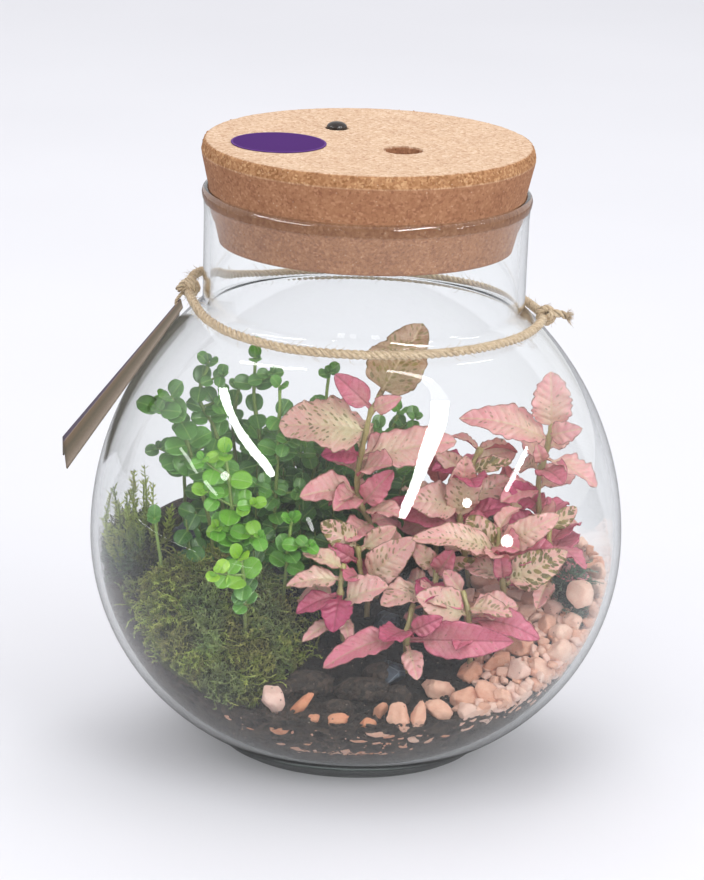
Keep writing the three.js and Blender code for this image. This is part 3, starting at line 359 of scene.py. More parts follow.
class Shader:
    """The node tree of a material or of the world, with short ways to add its nodes."""

    def __init__(self, name, kind="Material"):
        self.owner = (bpy.data.worlds if kind == "World" else bpy.data.materials).new(name)
        self.owner.use_nodes = True
        self.tree = self.owner.node_tree
        self.tree.nodes.clear()
        self.output = self.tree.nodes.new("ShaderNodeOutput" + kind)

    def feed(self, socket, value):
        if isinstance(value, Value):
            self.tree.links.new(value.socket, socket)
        else:
            socket.default_value = srgb(value) if isinstance(value, str) else value

    def node(self, kind, inputs=None, **settings):
        made = self.tree.nodes.new("ShaderNode" + kind)
        for key, value in settings.items():
            setattr(made, key, value)
        for key, value in (inputs or {}).items():
            self.feed(made.inputs[key], value)
        return made

    def value(self, kind, inputs=None, output=0, **settings):
        return Value(self, self.node(kind, inputs, **settings).outputs[output])

    def values(self, kind, inputs=None, **settings):
        return [Value(self, socket) for socket in self.node(kind, inputs, **settings).outputs]

    def ramp(self, factor, *stops):
        made = self.node("ValToRGB", {"Fac": factor})
        band = made.color_ramp
        while len(band.elements) < len(stops):
            band.elements.new(0.5)
        for element, (place, colour) in zip(band.elements, stops, strict=True):
            element.position = place
            colour = srgb(colour) if isinstance(colour, str) else colour
            element.color = colour if isinstance(colour, tuple) else (colour, colour, colour, 1)
        return Value(self, made.outputs["Color"])

    def mix(self, factor, a, b, kind="MIX"):
        return self.value("Mix", {0: factor, 6: a, 7: b}, 2, data_type="RGBA", blend_type=kind)

    def stain(self, share, colour, pattern, low, dark, light, kind="SOFT_LIGHT"):
        """The colour under a veil that runs from dark to light with a pattern."""
        return self.mix(share, colour, self.ramp(pattern, (low, dark), (1 - low, light)), kind)

    def math(self, operation, a, b=0.0):
        return self.value("Math", {0: a, 1: b}, operation=operation)

    def place(self):
        """The object's own coordinates in millimetres."""
        coordinate = self.value("TexCoord", output="Object")
        return self.value("Mapping", {"Vector": coordinate, "Scale": (1000, 1000, 1000)})

    def vector(self, name):
        """The three numbers of a mesh's attribute."""
        return self.split(self.value("Attribute", output="Vector", attribute_name=name))

    def split(self, vector):
        return self.values("SeparateXYZ", {0: vector})

    def noise(self, place, scale, detail=3.0, roughness=0.55, output="Fac"):
        inputs = {"Vector": place, "Scale": scale, "Detail": detail, "Roughness": roughness}
        return self.value("TexNoise", inputs, output)

    def cells(self, place, scale, feature="F1", output="Distance", randomness=1.0):
        inputs = {"Vector": place, "Scale": scale, "Randomness": randomness}
        return self.value("TexVoronoi", inputs, output, feature=feature)

    def bump(self, height, distance, strength=1.0):
        return self.value("Bump", {"Height": height, "Distance": distance * MM, "Strength": strength})

    def blend(self, share, first, second):
        return self.value("MixShader", {0: share, 1: first, 2: second})

    def body(self, colour, roughness, normal=None, specular=0.5, **more):
        inputs = {"Base Color": colour, "Roughness": roughness, "Specular IOR Level": specular}
        if normal is not None:
            inputs["Normal"] = normal
        named = {key.replace("_", " "): value for key, value in more.items()}
        return self.value("BsdfPrincipled", inputs | named)

    def finish(self, surface, volume=None):
        self.feed(self.output.inputs["Surface"], surface)
        if volume is not None:
            self.feed(self.output.inputs["Volume"], volume)
        return self.owner

    def solid(self, *looks, **more):
        return self.finish(self.body(*looks, **more))

    def leaf(self, share, colour, *looks):
        """A thin body that lets a share of its light through."""
        through = self.value("BsdfTranslucent", {"Color": colour})
        return self.finish(self.blend(share, self.body(colour, *looks), through))


def glass_material():
    look = Shader("glass")
    body = look.body((0.992, 0.998, 0.995, 1), 0.0, IOR=1.47, Transmission_Weight=1.0)
    clear = look.value("BsdfTransparent", {"Color": (0.985, 0.99, 0.987, 1)})
    path = look.node("LightPath")
    rays = [Value(look, path.outputs[name]) for name in ("Is Shadow Ray", "Is Diffuse Ray")]
    through = look.math("MAXIMUM", *rays)
    mixed = look.blend(through, body, clear)
    depth = look.value("VolumeAbsorption", {"Color": (0.62, 0.8, 0.74, 1), "Density": 9.0})
    return look.finish(mixed, depth)


def cork_material():
    look = Shader("cork")
    place = look.place()
    warped = look.mix(0.1, place, look.value("TexNoise", {"Vector": place, "Scale": 0.9}, "Color"))
    granule = look.split(look.cells(warped, 1.25, output="Color"))[0]
    side = look.vector("tone")
    top = look.ramp(granule, (0.0, "AE9078"), (0.25, "BFA68F"), (0.7, "C7AF99"), (1.0, "D3C0AD"))
    # The wall colours are darker than the top's: painted shade on the lid's side and in its holes.
    wall = look.ramp(granule, (0.0, "86604A"), (0.3, "936C52"), (0.8, "9B7459"), (1.0, "A98267"))
    rough = look.ramp(granule, (0.0, "86603F"), (0.4, "9C7554"), (0.8, "AC8663"), (1.0, "BC9974"))
    colour = look.mix(side[0], top, wall)
    colour = look.mix(side[1], colour, rough)
    broad = look.noise(place, 0.09, 4, 0.6)
    colour = look.stain(0.3, colour, broad, 0.3, "A98468", "F2DCC8")
    fine = look.noise(place, 3.2, 4)
    colour = look.stain(0.12, colour, fine, 0.3, "8C6A50", "F6E2D0", "OVERLAY")
    specks = look.cells(place, 0.3)
    size = look.noise(place, 0.45, 1)
    dark = specks < (size - 0.38) * 0.42
    colour = look.mix(dark * 0.6, colour, "6B4428")
    pale = look.cells(place, 0.42) < 0.09
    colour = look.mix(pale * 0.3, colour, "F6E6D0")
    # Painted shade: a darker band round the side at the height of the glass bead, where the rim keeps light off
    # the cork.
    level = abs(look.split(place)[2] - (BOWL.bead_height - 0.8))
    painted_rim_shade = look.ramp(level * 0.2, (0.38, 0.32), (0.55, 0.0)) * side[0]
    colour = look.mix(painted_rim_shade, colour, "4A3324")
    edge = look.cells(warped, 1.25, "DISTANCE_TO_EDGE")
    height = look.math("MINIMUM", edge, 0.12) + fine * 0.25
    normal = look.bump(height, 0.35, 0.6)
    return look.solid(colour, 0.88, normal, 0.2)


def label_material():
    look = Shader("label")
    place = look.place()
    ends = {0: place, 1: (LABEL.x, LABEL.y, LID.top)}
    reach = look.value("VectorMath", ends, "Value", operation="DISTANCE") / LABEL.radius
    colour = look.ramp(reach, (0.0, "4A2468"), (0.95, "482266"), (0.975, "6E4A88"), (1.0, "583478"))
    fibre = look.noise(place, 1.5, 5, 0.7)
    colour = look.stain(0.12, colour, fibre, 0.3, "3C2150", "8563A0", "OVERLAY")
    normal = look.bump(fibre, 0.05, 0.3)
    return look.solid(colour, 0.8, normal, 0.08)


def rubber_material():
    look = Shader("rubber")
    grain = look.noise(look.place(), 2.0, 4)
    colour = look.ramp(grain, (0.2, "140E0C"), (0.8, "2B1F1A"))
    return look.solid(colour, 0.35, look.bump(grain, 0.15, 0.5))


def jute_material():
    look = Shader("jute")
    shape = look.vector("shape")
    tone = look.vector("tone")
    along = look.value("CombineXYZ", {0: shape[0] * 0.35, 1: shape[1], 2: tone[0]})
    fibre = look.noise(along, 3.2, 4, 0.65)
    colour = look.ramp(fibre, (0.25, "8C7C66"), (0.5, "C0AE95"), (0.75, "E4D6C0"))
    colour = look.stain(0.3, colour, tone[0], 0.0, "A08A6C", "E8D8BC")
    # Painted shade: the jute darkens towards the twine's axis, in the grooves between the plies.
    groove = look.ramp(tone[1], (0.45, 1.0), (0.82, 0.0))
    colour = look.mix(groove * 0.85, colour, "4A3A26")
    normal = look.bump(fibre, 0.25, 0.8)
    return look.solid(colour, 0.85, normal, 0.2, Sheen_Weight=0.25)


def card_material(name, light, dark, scale):
    look = Shader(name)
    place = look.place()
    fibre = look.noise(place, scale, 5, 0.7)
    colour = look.ramp(fibre, (0.3, dark), (0.7, light))
    fleck = look.cells(place, 0.8)
    colour = look.mix(fleck < 0.06, colour, dark)
    return look.solid(colour, 0.7, look.bump(fibre, 0.1, 0.4))


def card_outside_material():
    """Kraft card with a purple band along its ridge, then a painted highlight along the fold, painted shade over
    the middle of each flap and painted light towards its free edges.
    """
    look = Shader("card_outside")
    place = look.place()
    shape = look.vector("shape")  # along the ridge, away from it
    fibre = look.noise(place, 1.0, 5, 0.7)
    across = shape[1] + (fibre - 0.5) * 0.06
    # Across the flap: the purple band, a painted highlight beside it, then painted shade giving way to painted
    # light towards the free edge.
    colour = look.ramp(
        across, (0.17, "4A3D55"), (0.2, "8C7C74"), (0.24, "735C40"),
        (0.5, "5A503A"), (0.75, "756754"), (1.0, "94867A"),
    )
    colour = look.stain(0.4, colour, fibre, 0.3, "5A4E44", "C8BCAE")
    return look.solid(colour, 0.7, look.bump(fibre, 0.1, 0.4))


def soil_material():
    look = Shader("soil")
    place = look.place()
    tone = look.vector("tone")  # how deep in a pit (painted shade there; a random darker tone on crumbs), how light (partly painted light and shade)
    clods = look.split(look.cells(place, 0.55, output="Color"))
    broad = look.noise(place, 0.09, 4, 0.6)
    dark = look.ramp(clods[1], (0.0, "17130F"), (0.4, "2A231E"), (0.75, "352C26"), (1.0, "453A32"))
    light = look.ramp(clods[1], (0.0, "3E3631"), (0.4, "574C45"), (0.75, "665A51"), (1.0, "796B60"))
    # Lightness carries painted light near the glass and painted shade under the plants, with the soil's own damp
    # and dry colours.
    colour = look.mix(tone[1], dark, light)
    colour = look.stain(0.6, colour, broad, 0.35, "3A322D", "95867A")
    fine = look.noise(place, 1.4, 6, 0.7)
    colour = look.stain(0.45, colour, fine, 0.35, "1E1916", "A89A8E", "OVERLAY")
    grit = look.cells(place, 0.5) < look.noise(place, 0.35, 1) * 0.2
    speck = look.ramp(clods[2], (0.0, "9A6E55"), (0.5, "9C9087"), (1.0, "C7B49F"))
    colour = look.mix(grit * 0.7, colour, speck)
    # Painted shade: near black in the pits of the wall against the glass; the peat crumbs take a random darker
    # tone from it.
    colour = look.mix(tone[0], colour, "0E0B09")
    edge = look.cells(place, 0.55, "DISTANCE_TO_EDGE")
    height = look.math("MINIMUM", edge, 0.3) + fine * 0.8
    normal = look.bump(height, 1.2, 0.9)
    return look.solid(colour, 0.8, normal, 0.3)


def gravel_material():
    look = Shader("gravel")
    place = look.place()
    tone = look.vector("tone")
    base = look.ramp(
        tone[0], (0.0, "CC8C6A"), (0.25, "D5A088"), (0.5, "DCB2A0"), (0.75, "E5C5B8"), (1.0, "E2C2BA")
    )
    broad = look.noise(place, 0.35, 4, 0.6)
    colour = look.stain(0.4, base, broad, 0.3, "A8654A", "F2DCCB")
    fine = look.noise(place, 3.0, 4, 0.7)
    colour = look.stain(0.18, colour, fine, 0.35, "7B4E3C", "FFF0E2", "OVERLAY")
    pits = look.cells(place, 0.28) < 0.1
    colour = look.mix(pits * 0.75, colour, "5A3A30")
    height = fine + broad * 0.8
    return look.solid(colour, 0.78, look.bump(height, 0.35, 0.8))


def rock_material():
    look = Shader("dark_rock")
    place = look.place()
    broad = look.noise(place, 0.25, 5, 0.6)
    colour = look.ramp(broad, (0.3, "151A22"), (0.5, "2B3542"), (0.68, "4A5868"), (0.8, "7C8793"))
    vein = look.cells(place, 0.16, "DISTANCE_TO_EDGE") < 0.018
    colour = look.mix(vein * 0.5, colour, "8F9AA6")
    fine = look.noise(place, 1.6, 5, 0.7)
    return look.solid(colour, 0.42, look.bump(fine, 0.5, 0.8))


def moss_material(name, deep, middle, tip, dry):
    look = Shader(name)
    shape = look.vector("shape")
    tone = look.vector("tone")  # dryness, draw, lightness
    place = look.place()
    reach = shape[0] * (tone[2] + 0.35)
    colour = look.ramp(reach, (0.0, deep), (0.4, middle), (1.0, tip))
    patch = look.noise(place, 0.06, 3)
    wilted = look.ramp(patch, (0.45, 0.0), (0.6, 1.0)) * 0.6
    wilted = look.math("MAXIMUM", wilted, tone[0] * 0.8)
    colour = look.mix(wilted, colour, look.mix(shape[0], deep, dry))
    cool = look.ramp(look.noise(place, 0.05, 2), (0.5, 0.0), (0.62, 1.0)) * 0.45
    colour = look.mix(cool * shape[0], colour, "55806A")
    return look.leaf(0.25, colour, 0.6, None, 0.3)


ROSE_STEPS = (0.0, 0.25, 0.5, 0.75, 1.0)  # along the rosiness, from -0.5 to 1.3
LEAF_BASES = ("A8946C", "EEE6BE", "F6E0C4", "E2A0A2", "B04866")
LEAF_TIPS = ("B49A78", "F6C2BA", "FABCBC", "E8869E", "C64C7A")


def rose_share(rosiness):
    """Where a rosiness lies on the steps above."""
    return (rosiness + 0.5) / 1.8


def pink_leaf_material():
    """The upper side: cream at the stalk and pink at the tip, green flecks, pale veins, a dark margin."""
    look = Shader("pink_leaf")
    shape = look.vector("shape")  # along, across, to the margin, in mm
    tone = look.vector("tone")  # rosiness, greenness, draw
    part = look.vector("part")  # along and across as shares
    across = abs(shape[1])
    slant = shape[0] - across * 0.8
    shift = tone[2] * 91.0
    net = look.value("CombineXYZ", {0: slant * 0.62, 1: shape[1] * 0.5, 2: shift})
    soft = look.noise(net, 0.55, 3)
    rose = rose_share(tone[0])
    base = look.ramp(rose, *zip(ROSE_STEPS, LEAF_BASES, strict=True))
    tip = look.ramp(rose, *zip(ROSE_STEPS, LEAF_TIPS, strict=True))
    outward = look.math("MAXIMUM", part[0], part[1] * 0.85)
    outward = outward + (soft - 0.5) * 0.7
    body = look.mix(look.ramp(outward, (0.25, 0.0), (0.8, 1.0)), base, tip)
    rib = abs(look.math("SINE", slant * 1.05))
    ribs = look.ramp(rib, (0.0, 1.0), (0.3, 0.0)) * 0.14
    midrib = look.ramp(across, (0.05, 1.0), (0.55, 0.0)) * 0.5
    crimson = look.ramp(rose, (0.72, 0.0), (0.8, 1.0))
    vein_colour = look.mix(crimson, "EEDDB0", "8A2C45")
    body = look.mix(look.math("MAXIMUM", ribs, midrib), body, vein_colour)
    # Flecks: round cells between the veins, the larger the greener the leaf.
    cell = look.cells(net, 0.95, randomness=0.8)
    own = look.split(look.cells(net, 0.95, output="Color", randomness=0.8))
    own_size = own[0] * 0.7 - 0.3
    reach = (tone[1] + own_size) * 0.55
    inside = reach - cell
    fleck = look.ramp(inside * 5.0, (0.0, 0.0), (0.5, 1.0))
    green = look.mix(own[1], "5E662E", "9A9450")
    strength = look.ramp(tone[1], (0.2, 0.5), (1.0, 0.92))
    body = look.mix(fleck * strength, body, green)
    broken = (look.noise(look.place(), 0.4, 2) - 0.4) * 1.2
    rough_edge = shape[2] + look.noise(net, 2.2, 2) * -0.5
    margin = look.ramp(rough_edge + broken, (0.0, 1.0), (0.35, 0.0))
    edge_colour = look.mix(crimson, "7A653C", "8F3A4C")
    body = look.mix(margin * 0.7, body, edge_colour)
    grain = look.noise(look.place(), 0.9, 4, 0.6)
    body = look.stain(0.4, body, grain, 0.3, "B88878", "FFFAF4")
    height = rib * 0.35 + soft * 0.5
    normal = look.bump(height, 0.8, 0.7)
    return look.leaf(0.34, body, 0.45, normal, 0.4)


def pink_under_material():
    """The under side: rose to crimson with a raised darker midrib and side veins."""
    look = Shader("pink_leaf_under")
    shape = look.vector("shape")
    tone = look.vector("tone")
    across = abs(shape[1])
    body = look.ramp(rose_share(tone[0]), (0.2, "C29484"), (0.5, "CB7F82"), (0.8, "BC5064"), (1.0, "A83A54"))
    grain = look.noise(look.place(), 0.5, 3)
    body = look.stain(0.4, body, grain, 0.3, "9A3F52", "F0AFAF")
    slant = shape[0] - across * 0.8
    stripe = abs(look.math("SINE", slant * 1.05))
    veins = look.ramp(stripe, (0.0, 1.0), (0.12, 0.0))
    midrib = look.ramp(across, (0.1, 1.0), (0.5, 0.0))
    lines = look.math("MAXIMUM", veins * 0.3, midrib * 0.7)
    body = look.mix(lines, body, "8C3147")
    normal = look.bump(lines, 0.4, 0.6)
    return look.leaf(0.34, body, 0.45, normal, 0.4)


def stalk_material(name, low, high):
    look = Shader(name)
    shape = look.vector("shape")
    grain = look.noise(look.place(), 1.2, 4)
    colour = look.ramp(shape[0], (0.0, low), (1.0, high))
    colour = look.stain(0.35, colour, grain, 0.3, "5C5138", "D8CBA0")
    return look.solid(colour, 0.5, look.bump(grain, 0.15, 0.6))


def green_leaf_material():
    look = Shader("green_leaf")
    shape = look.vector("shape")
    tone = look.vector("tone")
    # tone[0] is how light a leaf is: a random spread on painted light and shade from where the leaf stands.
    body = look.ramp(tone[0], (0.0, "4C7A3E"), (0.35, "6FA354"), (0.7, "7DC043"), (1.0, "B2DC46"))
    across = abs(shape[1])
    mottled = look.noise(look.place(), 0.6, 3)
    body = look.stain(0.25, body, mottled, 0.3, "3B6A32", "B5D98A")
    midrib = look.ramp(across, (0.05, 1.0), (0.4, 0.0))
    slant = shape[0] - across * 0.7
    stripe = abs(look.math("SINE", slant * 2.1))
    veins = look.ramp(stripe, (0.0, 1.0), (0.2, 0.0)) * 0.3
    lines = look.math("MAXIMUM", veins * 0.6, midrib * 0.45)
    body = look.mix(lines, body, "A6D070")
    normal = look.bump(lines, -0.3, 0.6)
    return look.leaf(0.3, body, 0.3, normal, 0.5)


# ---------------------------------------------------------------- camera, floor and light
CAMERA = Sizes(distance=1790, elevation=15.5, aim_height=118.8, aim_x=-2.6, roll=1.95)
PICTURE = Sizes(width=704, height=880, focal=4770)  # pixels
SENSOR = 36
FLOOR_HALF = 4000


def camera_axes():
    """The camera's place, and the arrows to its picture's right and top and straight ahead."""
    rise = math.radians(CAMERA.elevation)
    roll = math.radians(CAMERA.roll)
    ahead = vec((0, math.cos(rise), -math.sin(rise)))
    up = vec((0, math.sin(rise), math.cos(rise)))
    right = vec((1, 0, 0))
    image_right = right * math.cos(roll) + up * math.sin(roll)
    image_up = up * math.cos(roll) - right * math.sin(roll)
    place = vec((CAMERA.aim_x, 0, CAMERA.aim_height)) - ahead * CAMERA.distance
    return place, image_right, image_up, ahead


def sight(across, down):
    """The arrow from the camera through a pixel of the picture."""
    _, right, up, ahead = camera_axes()
    x, y = across - PICTURE.width / 2, PICTURE.height / 2 - down
    return unit(ahead * PICTURE.focal + right * x + up * y)


def seen_on_glass(across, down, inset=0.0):
    """Where a pixel's ray first meets the bowl's surface, shrunk by an inset, and the way it faces."""
    place = camera_axes()[0]
    line = place + sight(across, down) * np.arange(1500, 2000, 0.1)[:, None]
    height = np.clip(line[:, 2], 0.5, NECK_FROM)
    met = np.hypot(line[:, 0], line[:, 1]) < bowl_radius(height, inset)
    point = line[np.argmax(met)]
    reach = math.hypot(point[0], point[1])
    if point[2] > NECK_FROM:
        return point, vec((point[0], point[1], 0)) / reach
    arc = BOWL.shoulder_arc if point[2] > BOWL.widest_height else BOWL.foot_arc
    out = (reach - BOWL.widest + arc) / reach
    return point, unit(vec((point[0] * out, point[1] * out, point[2] - BOWL.widest_height)))


def place_camera():
    place, image_right, image_up, ahead = camera_axes()
    turn = Matrix((image_right, image_up, -ahead)).transposed()
    data = bpy.data.cameras.new("camera")
    data.sensor_width = SENSOR
    data.lens = PICTURE.focal / PICTURE.height * SENSOR
    data.clip_start, data.clip_end = 0.05, 50
    made = in_scene("camera", data)
    made.matrix_world = Matrix.Translation(Vector(place * MM)) @ turn.to_4x4()
    bpy.context.scene.camera = made


def make_floor():
    look = Shader("floor")
    grain = look.noise(look.place(), 0.004, 2)
    colour = look.ramp(grain, (0.3, "CDCDD2"), (0.7, "D0D0D5"))
    body = look.body(colour, 0.7, specular=0.1)
    glow = look.value("Emission", {"Color": (0.93, 0.93, 0.95, 1), "Strength": 0.115})
    lit = look.value("AddShader", {0: body, 1: glow})
    dim = look.value("BsdfDiffuse", {"Color": (0.16, 0.16, 0.165, 1)})
    path = look.node("LightPath").outputs
    mirror_only = Value(look, path["Is Glossy Ray"]) - Value(look, path["Is Transmission Ray"])
    mirrored_share = look.math("MAXIMUM", mirror_only, 0.0) * 0.8
    material = look.finish(look.blend(mirrored_share, lit, dim))
    corners = [(x * FLOOR_HALF, y * FLOOR_HALF, 0) for x, y in ((-1, -1), (1, -1), (1, 1), (-1, 1))]
    bare_mesh("floor", corners, [(0, 1, 2, 3)], [material])


def area_light(name, place, aim, size, power):
    data = bpy.data.lights.new(name, "AREA")
    data.shape = "RECTANGLE"
    data.size = data.size_y = size * MM
    data.energy = power
    made = in_scene(name, data)
    made.location = Vector(place) * MM
    made.rotation_euler = (Vector(aim) - Vector(place)).to_track_quat("-Z", "Y").to_euler()
    made.visible_camera = made.visible_glossy = made.visible_transmission = False


# Highlights on the bowl: how bright each is, and across and down to either side of it, row by row.
STRIPS = {
    "left_window": (
        36,
        (
            (219, 388, 227, 388), (220, 397, 230, 397), (223.5, 407, 232, 407), (228.5, 416.5, 236, 416.5),
            (232, 426, 241, 426), (237.5, 436, 248, 436), (244, 445, 255, 445), (251, 455, 263, 455),
            (259.5, 464.5, 271, 464.5), (266.5, 474, 275, 474), (269.5, 477, 273, 477),
        ),
    ),
    "left_window_top": (
        16, ((240, 360.5, 240, 363.5), (262, 364, 262, 367), (285, 367, 285, 369.5), (307, 368.5, 307, 370.5)),
    ),
    "right_window_corner": (
        3.5, ((421, 376, 420, 381), (432, 379, 428, 388), (441, 387, 430.5, 393), (449.5, 400, 431, 400)),
    ),
    "right_window": (
        40,
        (
            (431, 401, 450, 401), (431, 411.5, 448, 411.5), (430.5, 421.5, 447, 421.5), (425.5, 432, 444, 432),
            (422.5, 442, 440, 442), (419.5, 452, 436, 452), (416.5, 462.5, 431, 462.5),
            (413.5, 472.5, 426, 472.5), (410.5, 483, 421.5, 483), (406.5, 493, 417.5, 493),
            (402, 503, 413.5, 503), (399, 513.5, 408.5, 513.5), (398.5, 518.5, 404.5, 518.5),
        ),
    ),
    "right_window_top": (
        16, ((387, 370, 386, 372), (405, 372, 404, 374.5), (421, 375, 420, 379), (434, 380, 431, 386)),
    ),
    "right_slit": (
        24,
        (
            (526, 446, 528.5, 447.5), (521, 456, 525, 459), (515, 468, 519, 471), (509, 480, 513, 483),
            (504, 490, 507, 492.5),
        ),
    ),
    "right_slit_top": (7, ((457, 364, 457, 365.5), (475, 362, 475, 363.5), (493, 359.5, 493, 360.5))),
    "left_slit": (10, ((179, 448, 181, 447), (188, 461, 191, 459), (196, 474, 198, 473))),
    "glint": (12, ((306, 518, 309, 517), (308.5, 525, 312.5, 523), (312, 532, 314, 530))),
    "left_slit_low": (12, ((203, 482, 206, 480), (210, 490, 213, 488), (216, 496, 218, 495))),
    "neck_left": (12, ((222, 216, 223, 210), (240, 221, 241, 217), (262, 226, 263, 223))),
    "neck_a": (3.5, ((285, 240, 300, 241), (286, 252, 299, 253), (287, 264, 298, 265))),
    "neck_b": (3, ((336, 244, 345, 244), (337, 256, 345, 256), (337, 271, 345, 271))),
    "neck_c": (2, ((350, 244, 358, 244), (350, 256, 358, 256), (351, 271, 358, 271))),
    "neck_d": (3, ((374, 244, 386, 244), (375, 256, 385, 256), (375, 271, 384, 271))),
}
# Round ones: how bright, their middle and their half-width in pixels.
LAMPS = {"lamp_a": (30, (507, 541), 6.5), "lamp_b": (30, (467, 503), 5), "lamp_c": (16, (225, 476), 4.5)}
STRIP_DISTANCE = 1400


def mirrored(across, down):
    """Where the bowl's mirror image of a pixel lies, well away from the glass."""
    point, out = seen_on_glass(across, down)
    ray = sight(across, down)
    arrow = ray - 2 * ray.dot(out) * out
    reach = min(STRIP_DISTANCE, 0.9 * point[2] / -arrow[2]) if arrow[2] < 0 else STRIP_DISTANCE
    return point + arrow * reach


def mirror_light(name, points, faces, brightness):
    """A glowing surface that only mirrors see, at the images of the given pixels."""
    look = Shader(name)
    glow = look.value("Emission", {"Strength": float(brightness)})
    made = bare_mesh(name, [mirrored(*point) for point in points], faces, [look.finish(glow)])
    made.visible_camera = made.visible_diffuse = made.visible_transmission = False
    made.visible_shadow = made.visible_volume_scatter = False


def mirror_lights():
    for name, (brightness, rows) in STRIPS.items():
        points = [point for row in rows for point in (row[:2], row[2:])]
        faces = [(2 * i, 2 * i + 1, 2 * i + 3, 2 * i + 2) for i in range(len(rows) - 1)]
        mirror_light(name, points, faces, brightness)
    for name, (brightness, (across, down), half) in LAMPS.items():
        turns = [2 * math.pi * (i + 0.5) / 10 for i in range(10)]
        points = [(across + half * math.cos(t), down + half * math.sin(t)) for t in turns]
        mirror_light(name, points, [tuple(range(10))], brightness)


def light_studio():
    """A white room: bright for what it lights, darker in front for what the glass mirrors."""
    look = Shader("studio", "World")
    bpy.context.scene.world = look.owner
    _, depth, height = look.split(look.value("TexCoord", output="Generated"))

    def sky(source, *stops):
        colours = [(level, (bright * 0.985, bright * 0.985, bright, 1)) for level, bright in stops]
        return look.value("Background", {"Color": look.ramp(source, *colours), "Strength": 0.95})

    lighting = sky(height, (0.0, 0.7), (0.1, 0.8), (0.3, 0.9), (0.6, 1.0))
    depth = look.value("MapRange", {"Value": depth, "From Min": -1.0})
    lift = look.value("Math", {0: height, 1: 0.55, 2: depth}, operation="MULTIPLY_ADD")
    mirrored_sky = sky(lift, (0.0, 0.2), (0.3, 0.26), (0.55, 0.64), (0.9, 1.0))
    path = look.node("LightPath").outputs
    rays = {0: Value(look, path["Is Glossy Ray"]), 1: Value(look, path["Is Transmission Ray"])}
    mirror_only = look.value("Math", rays, operation="SUBTRACT", use_clamp=True)
    look.finish(look.blend(mirror_only, lighting, mirrored_sky))
    for name, spot, size, power in (
        ("overhead", (0, 700, 1600), 1200, 11),
        ("front_left", (-550, -1250, 1100), 900, 5.6),
        ("front_right", (950, -1000, 850), 900, 9.5),
    ):
        area_light(name, spot, (0, 0, 80), size, power)
    mirror_lights()


# ---------------------------------------------------------------- glass
def arc_points(centre, radius, start, end, count):
    turn = np.linspace(start, end, count)
    return np.stack([centre[0] + radius * np.cos(turn), centre[1] + radius * np.sin(turn)], axis=1)


def belly_profile(low, inset, steps):
    """The smooth profile from a low height through the belly and the fillet to the neck."""
    widest, height = BOWL.widest, BOWL.widest_height
    lower, upper = BOWL.foot_arc - inset, BOWL.shoulder_arc - inset
    start = math.asin((low - height) / lower)
    below = arc_points((widest - BOWL.foot_arc, height), lower, start, 0, steps)
    neck = BOWL.neck_radius - inset
    fillet = BOWL.neck_fillet + inset
    middle = widest - BOWL.shoulder_arc
    centre_x = neck + fillet
    rise = math.sqrt((upper + fillet) ** 2 - (centre_x - middle) ** 2)
    top = math.atan2(rise, centre_x - middle)
    above = arc_points((middle, height), upper, 0, top, steps + 8)[1:]
    bend = arc_points((centre_x, height + rise), fillet, top + math.pi, math.pi, 8)[1:]
    if bend[0, 0] > above[-1, 0] + fillet:
        bend = bend[::-1]
    return np.vstack([below, above, bend])


def floor_curve():
    """The inside of the base: level in the middle, then up to the wall."""
    low = BOWL.base + BOWL.floor_blend
    end = float(bowl_radius(low, BOWL.wall))
    return np.array([[end - 14, BOWL.base], [end - 9, BOWL.base + 0.5], [end - 5, BOWL.base + 1.5]])


GLASS_AROUND = 192  # corners in each ring of the bowl's mesh
BELLY_STEPS = 26


def make_glass():
    outer = belly_profile(BOWL.foot_blend, 0, BELLY_STEPS)
    inner = belly_profile(BOWL.base + BOWL.floor_blend, BOWL.wall, BELLY_STEPS)
    foot = np.array([[BOWL.foot_radius - 1, 0], [BOWL.foot_radius + 1, 0.7], [48.5, 2.6], [51.4, 5.2]])
    rim = BOWL.rim_radius
    top = BOWL.height
    flare = [[BOWL.neck_radius + 0.1, 190], [BOWL.neck_radius + 0.3, 206], [rim - 0.1, 210.4]]
    bead = [[rim + 0.3, 211.4], [61.2, 212.4], [61.3, 213.2], [61.0, 214.3], [60.3, 215.0], [59.5, top]]
    lip = [[58.9, 215.1], [58.4, 214.4], [58.1, 213.2], [57.7, 211.5], [57.5, 206], [57.4, 190]]
    profile = np.vstack(
        [[[0, 0], [20, 0]], foot, outer, flare, bead, lip, inner[::-1], floor_curve()[::-1], [[0, BOWL.base]]]
    )
    batch = Batch()
    batch.add(*turned(profile, GLASS_AROUND))
    batch.piece("bowl_glass", "glass", [glass_material()], replaces=["glass_bowl"])


# ---------------------------------------------------------------- lid, label and plug
def cork_chunk(batch, centre, size, draw):
    points, faces = BALLS[1]
    squeezed = points * (0.6 + 0.6 * np.array([draw.random() for _ in range(len(points))]))[:, None]
    batch.add(squeezed * size + centre, faces, tone=(draw.random() * 0.4, 0.9, 0))


CRUMBLY_RING = Sizes(height=231.2, reach=2.4, inner=58)  # between the side and the top
CORK_CRUMBS = 700
LID_AROUND = 220


